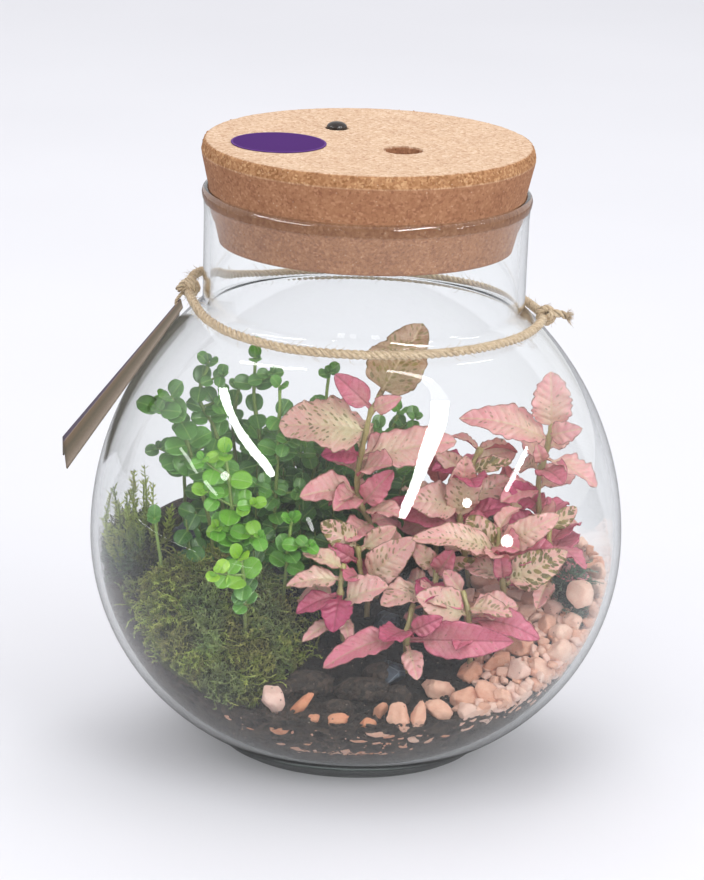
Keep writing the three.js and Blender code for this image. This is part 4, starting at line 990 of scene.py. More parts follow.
def make_lid():
    top = LID.top
    heights = np.linspace(LID.bottom + 0.4, LID.widest_height, 40)
    grown = (heights - LID.bottom) / (LID.widest_height - LID.bottom)
    slope = LID.widest_radius - LID.bottom_radius
    side = np.stack([LID.bottom_radius + grown * slope, heights], axis=1)
    chamfer = np.array([[61.9, 230.0], [61.75, 231.0], [61.5, 231.9], [61.2, 232.6], [60.8, 233.1]])
    flat = np.array([[r, top] for r in np.linspace(60.2, 3, 36)])
    under = np.array([[r, LID.bottom] for r in np.linspace(3, LID.bottom_radius - 0.4, 16)])
    profile = np.vstack([[[0, LID.bottom]], under, side, chamfer, flat, [[0, top]]])
    points, faces = turned(profile, LID_AROUND)
    reach = np.hypot(points[:, 0], points[:, 1])
    outward = points * [1, 1, 0] / np.maximum(reach, 1)[:, None]
    # The edge crumbles: granules are missing from the ring between the side and the top.
    near_ring = np.exp(-(((points[:, 2] - CRUMBLY_RING.height) / CRUMBLY_RING.reach) ** 2))
    ring = near_ring * (reach > CRUMBLY_RING.inner)
    crumble = wander(points, 0.55, 3) * 0.55 + wander(points, 1.3, 7) * 0.4
    points -= outward * (ring * np.maximum(crumble + 0.25, 0) * 1.3)[:, None]
    rough = wander(points, 0.8, 11) * 0.12 * (reach > 20)
    points -= outward * np.maximum(rough, 0)[:, None]
    points[:, 2] -= np.where(points[:, 2] > top - 0.5, np.maximum(wander(points, 0.9, 5), 0) * 0.16, 0)
    batch = Batch()
    batch.add(points, faces)
    material = cork_material()
    made = batch.piece("cork_body", "cork", [material], replaces=["cork_lid"])
    for name, x, y, hole, depth in (
        ("recess", RECESS.x, RECESS.y, RECESS.radius, RECESS.depth),
        ("bore", PLUG.x, PLUG.y, PLUG.bore, PLUG.depth + 0.4),
    ):
        cut_hole(made, name, x, y, hole, depth)
    tone_cork(made)
    chunks = Batch()
    draw = random.Random(5)
    for _ in range(CORK_CRUMBS):
        turn = draw.uniform(0, 2 * math.pi)
        height = draw.uniform(229.6, 232.9)
        out = 61.9 - (height - 229.1) * 0.28 - draw.uniform(0.35, 0.75)
        size = draw.uniform(0.35, 0.8)
        cork_chunk(chunks, vec((out * math.cos(turn), out * math.sin(turn), height)), size, draw)
    chunks.piece("cork_crumbs", "cork", [material], smooth_faces=False)


def tone_cork(body):
    """Marks the lid's side and the walls of its holes, and the crumbly chamfer, for the cork's colours; the side
    and the hole walls take the darker wall colours, which paint shade on them.
    """
    points = mesh_points(body.data)
    reach, height = np.hypot(points[:, 0], points[:, 1]), points[:, 2]
    tone = np.zeros_like(points)
    below_top = height < LID.top - 0.5
    chamfered = (reach > 55) & (height > LID.widest_height - 0.3) & (height < LID.top - 0.12)
    tone[:, 0] = np.where(below_top & ~chamfered, 1.0, 0.0)
    tone[:, 1] = np.where(chamfered, 1.0, 0.0)
    layer = body.data.attributes.get("tone") or body.data.attributes.new("tone", "FLOAT_VECTOR", "POINT")
    layer.data.foreach_set("vector", tone.astype(np.float32).ravel())


def cut_hole(body, name, x, y, radius, depth):
    """Cuts a rough-walled hole into the top of the lid."""
    points, faces = turned(
        [[0, LID.top - depth]]
        + [[radius * 0.97, height] for height in np.linspace(LID.top - depth, LID.top - 0.8, 10)]
        + [[radius * 1.03, LID.top + 0.3], [radius * 1.03, LID.top + 2], [0, LID.top + 2]],
        56,
    )
    arm = points * [1, 1, 0]
    points = points + arm / np.maximum(np.linalg.norm(arm, axis=1), 1)[:, None] * (
        wander(points + [x, y, 0], 0.6, 9) * 0.45
    )[:, None]
    cutter = bare_mesh(name, points + [x, y, 0], faces)
    cut = body.modifiers.new(name, "BOOLEAN")
    cut.operation, cut.solver, cut.object = "DIFFERENCE", "EXACT", cutter
    applied = bpy.data.meshes.new_from_object(body.evaluated_get(bpy.context.evaluated_depsgraph_get()))
    body.modifiers.clear()
    body.data = applied
    bpy.data.objects.remove(cutter)


def make_label_and_plug():
    low = LID.top + 0.1
    radius, high = LABEL.radius, LID.top + 0.1 + LABEL.thickness
    profile = [[0, low], [radius - 0.05, low], [radius, low + 0.08], [radius, high - 0.08], [radius - 0.1, high]]
    rings = [[r, high] for r in np.linspace(radius - 0.6, 1, 12)]
    points, faces = turned([*profile, *rings, [0, high]], 96)
    batch = Batch()
    batch.add(points + [LABEL.x, LABEL.y, 0], faces)
    batch.piece("label_paper", "label", [label_material()], replaces=["lid_label"])
    radius, top = PLUG.radius, LID.top
    dome = [
        [radius * math.cos(turn), top + 0.5 + (PLUG.dome - 0.5) * math.sin(turn)]
        for turn in np.linspace(0, math.pi / 2, 9)[:-1]
    ]
    stem = [[0, top - PLUG.depth], [radius - 0.4, top - PLUG.depth], [radius, top - PLUG.depth + 0.4]]
    points, faces = turned([*stem, [radius, top - 1], *dome, [0, top + PLUG.dome]], 40)
    batch = Batch()
    batch.add(points + [PLUG.x, PLUG.y, 0], faces)
    batch.piece("plug_rubber", "plug", [rubber_material()], replaces=["vent_plug"])


# ---------------------------------------------------------------- twine and tag
def ring_point(degrees_from_front, height, extra):
    turn = math.radians(degrees_from_front)
    radius = TWINE.ring + extra
    return (radius * math.sin(turn), -radius * math.cos(turn), height)


def beside(knot, x, y, z):
    return (knot[0] + x, knot[1] + y, knot[2] + z)


TWINE_ROUTE = [
    beside(KNOT_LEFT, -0.5, -1, -1), ring_point(-76, 173.2, -1.6), ring_point(-62, 171.2, -1.2),
    ring_point(-45, 169.9, -0.4),
    *[ring_point(degrees, TWINE.height, 0) for degrees in (-25, -5, 15, 35, 55, 72)],
    beside(KNOT_RIGHT, -0.8, 0, -0.6),
    *[ring_point(degrees, TWINE.height + 0.1, 0) for degrees in (100, 120, 140, 160, 180, 200)],
    ring_point(220, 170.4, -0.4), ring_point(238, 173.6, -1.8), ring_point(252, 177.6, -3.2),
    ring_point(263, 178.6, -1.9), beside(KNOT_LEFT, -0.6, 1.2, 0.8),
]
PLIES = 3


def path_length(path):
    return np.concatenate([[0], np.cumsum(np.linalg.norm(np.diff(path, axis=0), axis=1))])


def add_twine(batch, path, radius, pitch, seed, taper=0.0):
    """Twisted plies along a path, each a tube that winds about it."""
    across, up = frames_along(path)
    run = path_length(path)
    whole = run[-1]
    thin = 1 - taper * smooth(run / whole)
    for ply in range(PLIES):
        turn = 2 * np.pi * (run / pitch + ply / PLIES)
        offset = radius * 0.52 * thin
        centre = path + across * (offset * np.cos(turn))[:, None] + up * (offset * np.sin(turn))[:, None]
        sides = 9
        points, faces = tube(centre, radius * 0.5 * thin, sides)
        shape = np.zeros_like(points)
        shape[:-2, 0] = np.repeat(run, sides)
        shape[:-2, 1] = np.tile(np.arange(sides), len(run)) * 0.35
        rough = wander(points, 1.1, seed + ply) * 0.12 * radius
        points = points + rough[:, None] * unit(vec((0.3, 0.4, 0.86)))
        axis = np.vstack([np.repeat(path, sides, axis=0), path[0], path[-1]])
        # How far each point lies from the twine's axis, which the jute uses to paint shade in the grooves between
        # the plies.
        outness = np.linalg.norm(points - axis, axis=1) / radius
        tone = np.stack([0 * outness + (seed * 0.37 + ply * 0.29) % 1, outness, 0 * outness], axis=1)
        batch.add(points, faces, shape=shape, tone=tone)


def add_fibres(batch, path, radius, count, length, draw):
    """Loose hairs that leave the twine and curl away."""
    for _ in range(count):
        i = draw.randrange(2, len(path) - 3)
        along = unit(path[i + 1] - path[i])
        out = unit(np.cross(along, [draw.gauss(0, 1), draw.gauss(0, 1), draw.gauss(0, 1)]))
        reach = length * draw.uniform(0.4, 1.2)
        bend = unit(np.cross(along, out)) * draw.uniform(-0.5, 0.5)
        start = path[i] + out * radius * 0.7
        steps = [0, 0.35, 0.7, 1.0]
        line = [
            start + (along * draw.uniform(0.5, 0.9) * s + out * 0.75 * s + bend * s * s) * reach
            for s in steps
        ]
        add_tube(batch, inside_box(line), np.array([0.09, 0.08, 0.06, 0.03]), 3, tone=(draw.random(), 1, 0))


def inside_box(line):
    """Hairs stay within the reach of the whole object."""
    low, high = [np.array(corner) / MM for corner in cad_box]
    return np.clip(np.array(line), low - 2, high + 2)


def knot_path(centre, axis, turns, radius, length, phase):
    axis = unit(vec(axis))
    side = unit(np.cross(axis, (0.2, 0.3, 1)))
    up = np.cross(axis, side)
    steps = np.linspace(0, 1, 60)
    turn = 2 * np.pi * turns * steps + phase
    swell = radius * (0.75 + 0.35 * np.sin(np.pi * steps))
    along = axis * (length * (steps - 0.5))[:, None]
    return vec(centre) + along + side * (swell * np.cos(turn))[:, None] + up * (swell * np.sin(turn))[:, None]


TWINE_LAY = 7.5  # along the twine for one turn of its plies
LOOP_HAIRS = 420
KNOT_HAIRS = 26
FRAYED_HAIRS = 70


def make_twine():
    draw = random.Random(17)
    batch = Batch()
    loop = smooth_path(TWINE_ROUTE, 620)
    add_twine(batch, loop, TWINE.radius, TWINE_LAY, 1)
    add_fibres(batch, loop, TWINE.radius, LOOP_HAIRS, 3.2, draw)
    for centre, axis, seed in ((KNOT_LEFT, (0.35, 1, 0.25), 3), (KNOT_RIGHT, (0.15, 1, 0.1), 5)):
        wound = knot_path(centre, axis, 2.2, 2.4, 4.6, seed)
        add_twine(batch, wound, 1.45, 5.5, seed)
        crossing = knot_path(centre, (1, 0.2, 0.4), 1.1, 2.1, 3.6, seed + 1)
        add_twine(batch, crossing, 1.35, 5.5, seed + 2)
        add_fibres(batch, wound, 1.4, KNOT_HAIRS, 2.6, draw)
    end = smooth_path(
        [beside(KNOT_RIGHT, 0.5, -1, 0.4), beside(KNOT_RIGHT, 4.5, -1.4, 1.2), beside(KNOT_RIGHT, 8.0, -1, 0)], 40
    )
    add_twine(batch, end, TWINE.radius, TWINE_LAY, 9, taper=0.25)
    for _ in range(FRAYED_HAIRS):
        tip = beside(KNOT_RIGHT, draw.uniform(8.2, 10.6), -1 + draw.gauss(0, 1.3), draw.gauss(-0.2, 1.4))
        root = end[-6] + vec((0, draw.gauss(0, 0.5), draw.gauss(0, 0.5)))
        middle = (root + vec(tip)) / 2 + vec((0, draw.gauss(0, 0.4), draw.gauss(0, 0.4)))
        line = smooth_path([root, middle, tip], 6)
        add_tube(batch, inside_box(line), np.linspace(0.16, 0.06, 6), 3, tone=(draw.random(), 1, 0))
    bends = ((-0.6, -0.6, 0.4), (-2.6, -2.4, 1.6), (-4.4, -3.2, -0.4))
    short = smooth_path([beside(KNOT_LEFT, *bend) for bend in bends], 24)
    add_twine(batch, short, TWINE.radius * 0.85, 6, 12, taper=0.2)
    tie = smooth_path(
        [beside(KNOT_LEFT, -1.6, -1.2, -0.6), (-68.2, -2.6, 173.2), (-69.6, -3.4, 171.0), (-69.4, -4.0, 169.4)], 40
    )
    add_twine(batch, tie, 0.7, 3.6, 14)
    batch.piece("twine_plies", "jute", [jute_material()], replaces=["jute_twine"])


def make_tag():
    """The folded card: two flaps, each bowed a little, that meet in a rounded ridge."""
    top, bottom = vec(TAG.ridge_top), vec(TAG.ridge_bottom)
    far = vec(TAG.far_flap)
    ridge = bottom - top
    rows, half = 40, 24
    steps = np.linspace(0, 1, rows)
    spread = np.concatenate([-np.linspace(1, 0.02, half), [0], np.linspace(0.02, 1, half)])
    far_out = unit(np.cross(far, ridge))
    outer, inner = [], []
    for t in steps:
        near = vec(TAG.near_flap_top) * (1 - t) + vec(TAG.near_flap) * t
        near_out = unit(np.cross(ridge, near))
        for s in spread:
            flap, out = (near, near_out) if s < 0 else (far, far_out)
            blend = smooth(0.5 + s / 0.12)
            out = unit(near_out * (1 - blend) + far_out * blend)
            bow = 0.5 * math.sin(math.pi * abs(s)) * math.sin(math.pi * t) - 0.35 * (1 - smooth(abs(s) / 0.06))
            point = top + ridge * t + flap * abs(s) + out * bow * 0.6
            outer.append(point)
            inner.append(point - out * TAG.thickness)
    faces = sheet_faces(rows, len(spread))
    over = np.array([(t, abs(s), 0) for t in steps for s in spread])
    mark = np.repeat((0, 1, 2), [len(side) for side in faces])
    batch = Batch()
    batch.add(np.array(outer + inner), np.vstack(faces), shape=np.vstack([over, over]), mark=mark)
    outside = card_outside_material()
    inside = card_material("card_inside", "9C958F", "7C766E", 0.8)
    edge = card_material("card_edge", "857868", "6A5E52", 1.2)
    batch.piece("tag_card", "card", [outside, inside, edge], replaces=["card_tag"])


# ---------------------------------------------------------------- ground
def wall_radius(height):
    """Radius of the inside of the glass at a height, down to its floor."""
    curve = floor_curve()
    low = BOWL.base + BOWL.floor_blend
    end = float(bowl_radius(low, BOWL.wall))
    below = np.interp(height, [*curve[:, 1], low], [*curve[:, 0], end])
    return np.where(height < low, below, bowl_radius(np.maximum(height, low), BOWL.wall))


def edge_height(turn):
    height = 50.0
    for _ in range(8):
        radius = float(wall_radius(np.float64(height)))
        height = float(soil_height(radius * math.sin(turn), -radius * math.cos(turn)))
    return height


def soil_lightness_with_painted_shade(points):
    """How light the soil's top is: pale near the glass and dark under the plants, partly the soil's own dry and
    damp colours and partly painted light near the glass and painted shade under the plants.
    """
    reach = np.hypot(points[..., 0], points[..., 1])
    front = smooth((-20 - points[..., 1]) / 40)
    return np.clip(smooth((reach - 58) / 20) * (0.35 + 0.65 * front), 0, 1)


SOIL_AROUND = 320  # corners in each ring of the soil's mesh
WALL_RINGS = 46
TOP_RINGS = 90
SOIL_GAP = 0.35  # between the soil and the glass


def make_soil():
    around = SOIL_AROUND
    turns = 2 * np.pi * np.arange(around) / around
    edges = np.array([edge_height(turn) for turn in turns])
    rings = []
    low = BOWL.base + 0.4
    for part in np.linspace(0, 1, WALL_RINGS):
        height = low + (edges - low) * part
        radius = wall_radius(height) - SOIL_GAP
        rings.append(np.stack([radius * np.sin(turns), -radius * np.cos(turns), height], axis=1))
    outer = wall_radius(edges) - SOIL_GAP
    for part in np.linspace(0.985, 0.02, TOP_RINGS):
        x, y = outer * part * np.sin(turns), -outer * part * np.cos(turns)
        rings.append(np.stack([x, y, soil_height(x, y)], axis=1))
    ring_points = np.array(rings)
    points = ring_points.reshape(-1, 3)
    clods = wander(points, 0.28, 2) * 1.1 + wander(points, 0.7, 5) * 0.7 + wander(points, 1.6, 8) * 0.35
    top_part = np.arange(len(points)) >= WALL_RINGS * around
    points[:, 2] += np.where(top_part, clods, 0)
    angle = np.arctan2(points[:, 0], -points[:, 1])
    stretched = np.stack([angle * 90 * 0.2, points[:, 2] * 0.55, 0 * angle], axis=1)
    pits = np.clip(wander(stretched, 1.0, 6) * 2.6 - 0.75, 0, 1)
    pits = pits + np.clip(wander(stretched, 2.1, 9) * 2.4 - 0.9, 0, 1)
    pits = np.where(top_part, 0, np.minimum(pits, 1))
    reach = np.hypot(points[:, 0], points[:, 1])
    outward = points * [1, 1, 0] / np.maximum(reach, 1)[:, None]
    points = points - outward * (pits * 1.8)[:, None]
    # Lightness: full on the wall against the glass, partly painted light; painted light and shade on the top.
    lightness = np.where(top_part, soil_lightness_with_painted_shade(points), 1)
    middle = vec((0, 0, soil_height(0, 0)))
    points = np.vstack([inside_glass(points, 0.3), (0, 0, low), middle])
    tones = np.vstack([np.stack([pits, lightness, 0 * pits], axis=1), (0, 1, 0), (0, 0, 0)])
    batch = Batch()
    batch.add(points, closed_faces(len(rings), around), tone=tones)
    batch.piece("soil_bed", "soil", [soil_material()], replaces=["soil"])


PEAT_CRUMBS = 3200
PEAT_REACH = 90
CLAY_CRUMBS = 70
CLAY_LINE = Sizes(count=120, height=20.2)  # the finest ones, washed down against the front glass


def make_crumbs():
    """Loose bits: peat crumbs and clods on the soil, and pieces of terracotta in it behind the front glass."""
    draw = random.Random(23)
    peat, clods, clay = Batch(), Batch(), Batch()
    for _ in range(PEAT_CRUMBS):
        turn, part = draw.uniform(0, 2 * math.pi), math.sqrt(draw.uniform(0, 1))
        reach = PEAT_REACH * part
        x, y = reach * math.sin(turn), -reach * math.cos(turn)
        size = draw.uniform(0.35, 1.4)
        centre = vec((x, y, float(soil_height(x, y)) + size * 0.3 + 0.4))
        add_lump(peat, centre, size, draw, (0.25 * draw.random(), float(soil_lightness_with_painted_shade(centre)), 0))
    for x, y, size in SOIL_CLODS:
        points, faces = BALLS[5]
        worn = 1 + 0.22 * wander(points + x, 1.3) + 0.09 * wander(points + x, 4) + 0.03 * wander(points + x, 11)
        centre = vec((x, y, float(soil_height(x, y)) + size[2] * 0.25))
        clods.add(inside_glass(points * worn[:, None] * size + centre, 0.6), faces, tone=(0, 0.85, 0))
    for _ in range(CLAY_CRUMBS):
        turn = math.radians(draw.gauss(4, 26))
        height = draw.uniform(20, 33)
        add_clay(clay, turn, height, draw.uniform(0.3, 0.7), 1.2, draw)
    for degrees, height, size in CLAY_PIECES:
        add_clay(clay, math.radians(degrees), height, size, 2.1, draw)
    for _ in range(CLAY_LINE.count):
        turn = math.radians(draw.uniform(-17, 12))
        add_clay(clay, turn, CLAY_LINE.height + draw.gauss(0, 0.5), draw.uniform(0.25, 0.6), 2.2, draw)
    soil = soil_material()
    peat.piece("peat_lumps", "soil", [soil], smooth_faces=False)
    clods.piece("soil_clods", "soil", [soil])
    clay.piece("clay_crumbs", "gravel", [gravel_material()])


# Rounded lumps of soil: x, y and half-sizes.
SOIL_CLODS = (
    (-15, -56, (9, 6.5, 5)), (4.5, -57, (10, 6.5, 4.6)), (-26, -60, (6, 5, 3.6)), (17, -58, (5.5, 5, 3.6)),
    (-4, -66, (6, 4, 2.8)), (10, -50, (6, 5, 4)),
)
# Bits of terracotta against the front glass: degrees from the front, height and size.
CLAY_PIECES = (
    (-19, 29.5, 2.6), (-20, 22.5, 1.3), (-12, 24, 1.1), (-16, 20.5, 1.7), (7, 31, 2.2), (11, 30, 1.6),
    (3, 27.5, 1.6), (8, 26.5, 1.2), (14, 28.5, 1.0), (18, 27, 1.8), (19, 29.5, 1.0), (15.5, 24, 1.3),
    (-1, 21.5, 1.6), (23, 26, 1.4), (27, 28, 1.3), (33, 30, 1.4), (-28, 28, 1.0), (-34, 31, 1.2),
)


def add_clay(batch, turn, height, size, stretch, draw):
    """A bit of terracotta lying flat against the glass, longer along it than up it."""
    radius = float(wall_radius(np.float64(height))) - 0.75
    out = vec((math.sin(turn), -math.cos(turn), 0))
    along = vec((math.cos(turn), math.sin(turn), draw.uniform(-0.4, 0.4)))
    points, faces = BALLS[2]
    worn = 1 + 0.35 * wander(points * 1.4 + draw.uniform(0, 90), 1.0)
    shape = worn[:, None] * points * size
    wide = unit(along) * stretch * draw.uniform(0.6, 1)
    placed = shape[:, :1] * out * 0.5 + shape[:, 1:2] * wide + shape[:, 2:] * vec((0, 0, 1)) * 0.8
    placed = inside_glass(placed + out * radius + vec((0, 0, height)), 0.3)
    batch.add(placed, faces, tone=(draw.uniform(0, 0.7), draw.random(), 0))


def add_lump(batch, centre, size, draw, tone):
    points, faces = BALLS[1]
    lumpy = points * np.array([0.7 + 0.5 * draw.random() for _ in points])[:, None]
    stretch = np.array([draw.uniform(0.8, 1.3), draw.uniform(0.7, 1.1), draw.uniform(0.6, 0.9)]) * size
    batch.add(inside_glass(lumpy * stretch + centre, 0.35), faces, tone=tone)


# ---------------------------------------------------------------- stones
def angular(detail, draw, facets=11, depth=(0.5, 0.82)):
    """A unit stone: a ball cut by flat faces, its edges worn by noise."""
    points, faces = BALLS[detail]
    points = points.copy()
    for _ in range(facets):
        out = unit(np.array([draw.gauss(0, 1) for _ in range(3)]))
        over = np.maximum(points @ out - draw.uniform(*depth), 0)
        points -= over[:, None] * out
    return points, faces


def rough_stone(points, draw, wear):
    """A unit stone with a knobbly, pitted surface."""
    shift = draw.uniform(0, 50)
    broad = wander(points * 1.5 + shift, 1.0) * wear * 2.4
    grain = wander(points * 3.5 + shift, 1.0) * wear * 1.6 + wander(points * 9 + shift, 1.0) * wear
    return points * (1 + broad + grain)[:, None]


def add_stone(batch, centre, size, detail, draw, tone, wear=0.03, air=0.35):
    points, faces = angular(detail, draw)
    points = rough_stone(points, draw, wear)
    yaw, tilt = draw.uniform(0, 2 * math.pi), draw.uniform(-0.5, 0.5)
    turn = np.array(Matrix.Rotation(yaw, 3, "Z") @ Matrix.Rotation(tilt, 3, "X"))
    points = (points * size) @ turn.T + centre
    batch.add(inside_glass(points, air), faces, tone=(tone, draw.random(), 0))


def gravel_bank(degrees):
    """How wide and how deep the gravel lies at an angle from the front."""
    fullness = float(smooth((degrees - 28) / 40) * (1 - smooth((degrees - 96) / 30)))
    sinking = 1 - 0.6 * float(smooth((degrees - 55) / 25))
    return 7 + 33 * fullness, 2.2 + 10 * fullness * sinking


# Stones that stand out: where each is seen in the picture, its half-sizes across, deep and high, its
# tone and its tilt to the right in degrees.
GRAVEL_SEEN = (
    ((301, 704), (6.5, 2.6, 2.6), 0.05, -48), ((315, 716), (2.4, 2.0, 1.8), 0.15, 0),
    ((339, 718), (4.8, 2.6, 2.6), 0.1, 0), ((368, 722), (3.2, 2.2, 2.4), 0.05, -30),
    ((380, 711), (2.8, 2.6, 4.6), 0.2, 20), ((398, 716), (5.0, 4.2, 5.6), 0.45, 0),
    ((417, 714), (2.9, 3.0, 5.6), 0.4, 10), ((437, 709), (5.4, 4.0, 4.4), 0.45, 30),
    ((438, 688), (6.6, 5.0, 4.6), 0.55, 25), ((464, 697), (5.2, 4.2, 4.6), 0.4, 0),
    ((466, 720), (2.6, 1.8, 2.0), 0.5, 0), ((469, 673), (4.2, 4.0, 5.2), 0.3, 35),
    ((485, 692), (4.6, 3.8, 5.6), 0.45, -35), ((501, 697), (3.2, 3.0, 4.2), 0.5, -25),
    ((521, 692), (5.4, 4.4, 5.0), 0.55, 0), ((497, 661), (5.8, 4.4, 3.8), 0.3, -25),
    ((517, 647), (6.0, 5.0, 4.6), 0.4, 0), ((538, 668), (6.2, 4.6, 4.2), 0.6, 20),
    ((556, 650), (4.4, 4.0, 5.2), 0.65, 20), ((572, 622), (4.0, 4.0, 4.4), 0.7, 0),
    ((560, 634), (4.4, 4.0, 4.0), 0.7, 0),
)


def gravel_top(x, y):
    """The height of the gravel over a point, or of the bare soil."""
    width, depth = gravel_bank(math.degrees(math.atan2(x, -y)))
    inset = (float(bowl_radius(np.float64(GRAVEL.height + depth), BOWL.wall)) - math.hypot(x, y)) / width
    return float(soil_height(x, y)) + depth * max(0.0, 1 - 0.85 * min(1, inset)) * (inset < 1)


def seen_on_gravel(across, down, half):
    """Where a stone has to lie to be seen at a pixel: against the glass or on what is under it."""
    place, ray = camera_axes()[0], sight(across, down)
    for reach in np.arange(1620, 1900, 0.4):
        x, y, z = place + ray * reach
        clear = math.hypot(x, y) < float(bowl_radius(np.float64(max(z, 9)), BOWL.wall)) - half[1] - 0.5
        if clear and z < gravel_top(x, y) + half[2] * 0.45:
            return vec((x, y, z))
    return None


GRAVEL_TRIES = 15000
LARGE_TRIES = 8000  # after these only small stones are tried, for the gaps between the others


def make_gravel():
    draw = random.Random(31)
    placed = []
    batch = Batch()
    for (across, down), half, tone, tilt in GRAVEL_SEEN:
        place = seen_on_gravel(across, down, half)
        points, faces = angular(4, draw, 9, (0.55, 0.9))
        points = rough_stone(points, draw, 0.06) * half
        turn = np.array(Matrix.Rotation(math.radians(tilt), 3, "Y"))
        placed.append((place, max(half) * 0.8))
        batch.add(inside_glass(points @ turn.T + place, 0.35), faces, tone=(tone, draw.random(), 0))
    for i in range(GRAVEL_TRIES):
        filling = i > LARGE_TRIES
        degrees = draw.uniform(30, GRAVEL.to)
        width, depth = gravel_bank(degrees)
        against_glass = draw.random() < (0.1 if filling else 0.45)
        inset = 0 if against_glass else draw.uniform(0.05, 1)
        size = draw.uniform(3.4, 5.6) if draw.random() < 0.75 and not filling else draw.uniform(1.8, 3.0)
        turn = math.radians(degrees)
        top = depth * (1 - 0.85 * inset) + size * 0.2
        above = draw.uniform(-1, top) if against_glass else top
        reach = float(bowl_radius(GRAVEL.height + depth, BOWL.wall)) - size * 0.8 - inset * width
        x, y = reach * math.sin(turn), -reach * math.cos(turn)
        height = float(soil_height(x, y)) + above
        if against_glass:
            reach = float(bowl_radius(height, BOWL.wall)) - size * 0.75 - 0.4
            x, y = reach * math.sin(turn), -reach * math.cos(turn)
        place = vec((x, y, height))
        spacing = 0.58 if filling else 0.7
        if any(np.linalg.norm(place - other) < spacing * (size + near) for other, near in placed):
            continue
        placed.append((place, size))
        stretch = np.array([draw.uniform(0.95, 1.35), draw.uniform(0.8, 1.05), draw.uniform(0.75, 1.0)])
        add_stone(batch, place, stretch * size, 3, draw, draw.uniform(0.3, 1), wear=0.05)
    batch.piece("gravel_stones", "gravel", [gravel_material()], replaces=["gravel"])


def node_box(name):
    low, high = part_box(name)
    low, high = np.array(low) / MM, np.array(high) / MM
    return (low + high) / 2, (high - low) / 2


def make_rocks():
    draw = random.Random(43)
    rock, clay = rock_material(), gravel_material()
    for name in ("dark_rock_left", "dark_rock_middle", "dark_rock_front"):
        centre, half = node_box(name)
        batch = Batch()
        add_stone(batch, centre, half * 1.08, 4, draw, 0.5, wear=0.04)
        batch.piece(name.replace("dark_rock", "slate_lump"), "rock", [rock], replaces=[name])
    for name, tone in (("front_stone", 1.0), ("side_stone", 0.7)):
        centre, half = node_box(name)
        batch = Batch()
        add_stone(batch, centre, half * 1.08, 4, draw, tone)
        slot = "pale_stone" if name == "front_stone" else "gravel"
        batch.piece(name + "_worn", slot, [clay], replaces=[name])


# ---------------------------------------------------------------- moss
def surface_samples(name, count, draw):
    """Points and outward arrows spread evenly over the parts of a node that look up or out."""
    mesh = NODES[name].data
    mesh.calc_loop_triangles()
    corners = mesh_points(mesh)[np.array([t.vertices[:] for t in mesh.loop_triangles])]
    square = np.cross(corners[:, 1] - corners[:, 0], corners[:, 2] - corners[:, 0])
    area = np.linalg.norm(square, axis=1)
    out = square / np.maximum(area, 1e-9)[:, None]
    weight = np.where(out[:, 2] > -0.35, area, 0)
    weight *= np.where(out[:, 2] > 0.25, 1, 0.6)
    chosen = draw.choice(len(area), count, p=weight / weight.sum())
    a, b = draw.random(count), draw.random(count)
    swap = a + b > 1
    a[swap], b[swap] = 1 - a[swap], 1 - b[swap]
    tri = corners[chosen]
    points = tri[:, 0] + (tri[:, 1] - tri[:, 0]) * a[:, None] + (tri[:, 2] - tri[:, 0]) * b[:, None]
    return points, out[chosen]


def moss_shoot(draw, leaflets, droop):
    """A curved stem with small pointed leaflets set round it, of unit length, along +Z."""
    steps = np.linspace(0, 1, 6)
    path = np.stack([droop * steps**2, 0 * steps, steps - 0.25 * droop * steps**2], axis=1)
    points, faces = tube(path, np.linspace(0.045, 0.02, 6), 3)
    all_points, rise = [points], [np.append(np.repeat(steps, 3), [0, 1])]
    count = len(points)
    for i in range(leaflets):
        t = 0.12 + 0.86 * i / leaflets
        root = np.array([droop * t * t, 0, t - 0.25 * droop * t * t])
        turn = i * 2.4 + draw.uniform(-0.4, 0.4)
        out = np.array([math.cos(turn), math.sin(turn), draw.uniform(0.5, 1.1)])
        out = unit(out) * draw.uniform(0.2, 0.32) * (1.1 - 0.5 * t)
        side = unit(np.cross(out, [0.1, 0.2, 1])) * 0.055
        middle = root + out * 0.5
        all_points.append(np.array([root, middle + side, root + out + [0, 0, 0.05], middle - side]))
        faces.append([*range(count, count + 4)])
        rise.append(np.array([t, t + 0.05, min(1, t + 0.3), t + 0.05]))
        count += 4
    return np.vstack(all_points), faces, np.concatenate(rise)


def moss_strand(draw, leaflets=15):
    """A long thin wavy shoot that lies along +X, of unit length, with small pointed leaflets."""
    steps = np.linspace(0, 1, 10)
    wave, lift, phase = draw.uniform(0.06, 0.16), draw.uniform(0.1, 0.45), draw.uniform(0, 6.28)
    rise = lift * np.sin(np.pi * steps * draw.uniform(0.5, 0.9))
    path = np.stack([steps, wave * np.sin(6 * steps + phase), rise], axis=1)
    points, faces = tube(path, np.linspace(0.035, 0.015, 10), 3)
    all_points, shade = [points], [np.append(np.repeat(steps, 3), [0, 1])]
    count = len(points)
    for i in range(leaflets):
        t = 0.05 + 0.93 * i / leaflets
        root = np.array([np.interp(t, steps, path[:, axis]) for axis in range(3)])
        turn = i * 2.4 + draw.uniform(-0.5, 0.5)
        out = unit(np.array([draw.uniform(0.5, 1.2), math.cos(turn), math.sin(turn)])) * draw.uniform(0.1, 0.17)
        side = unit(np.cross(out, [1, 0.2, 0.1])) * 0.03
        middle = root + out * 0.5
        all_points.append(np.array([root, middle + side, root + out, middle - side]))
        faces.append([*range(count, count + 4)])
        shade.append(np.array([t, t, min(1, t + 0.2), t]))
        count += 4
    return np.vstack(all_points), faces, np.concatenate(shade)


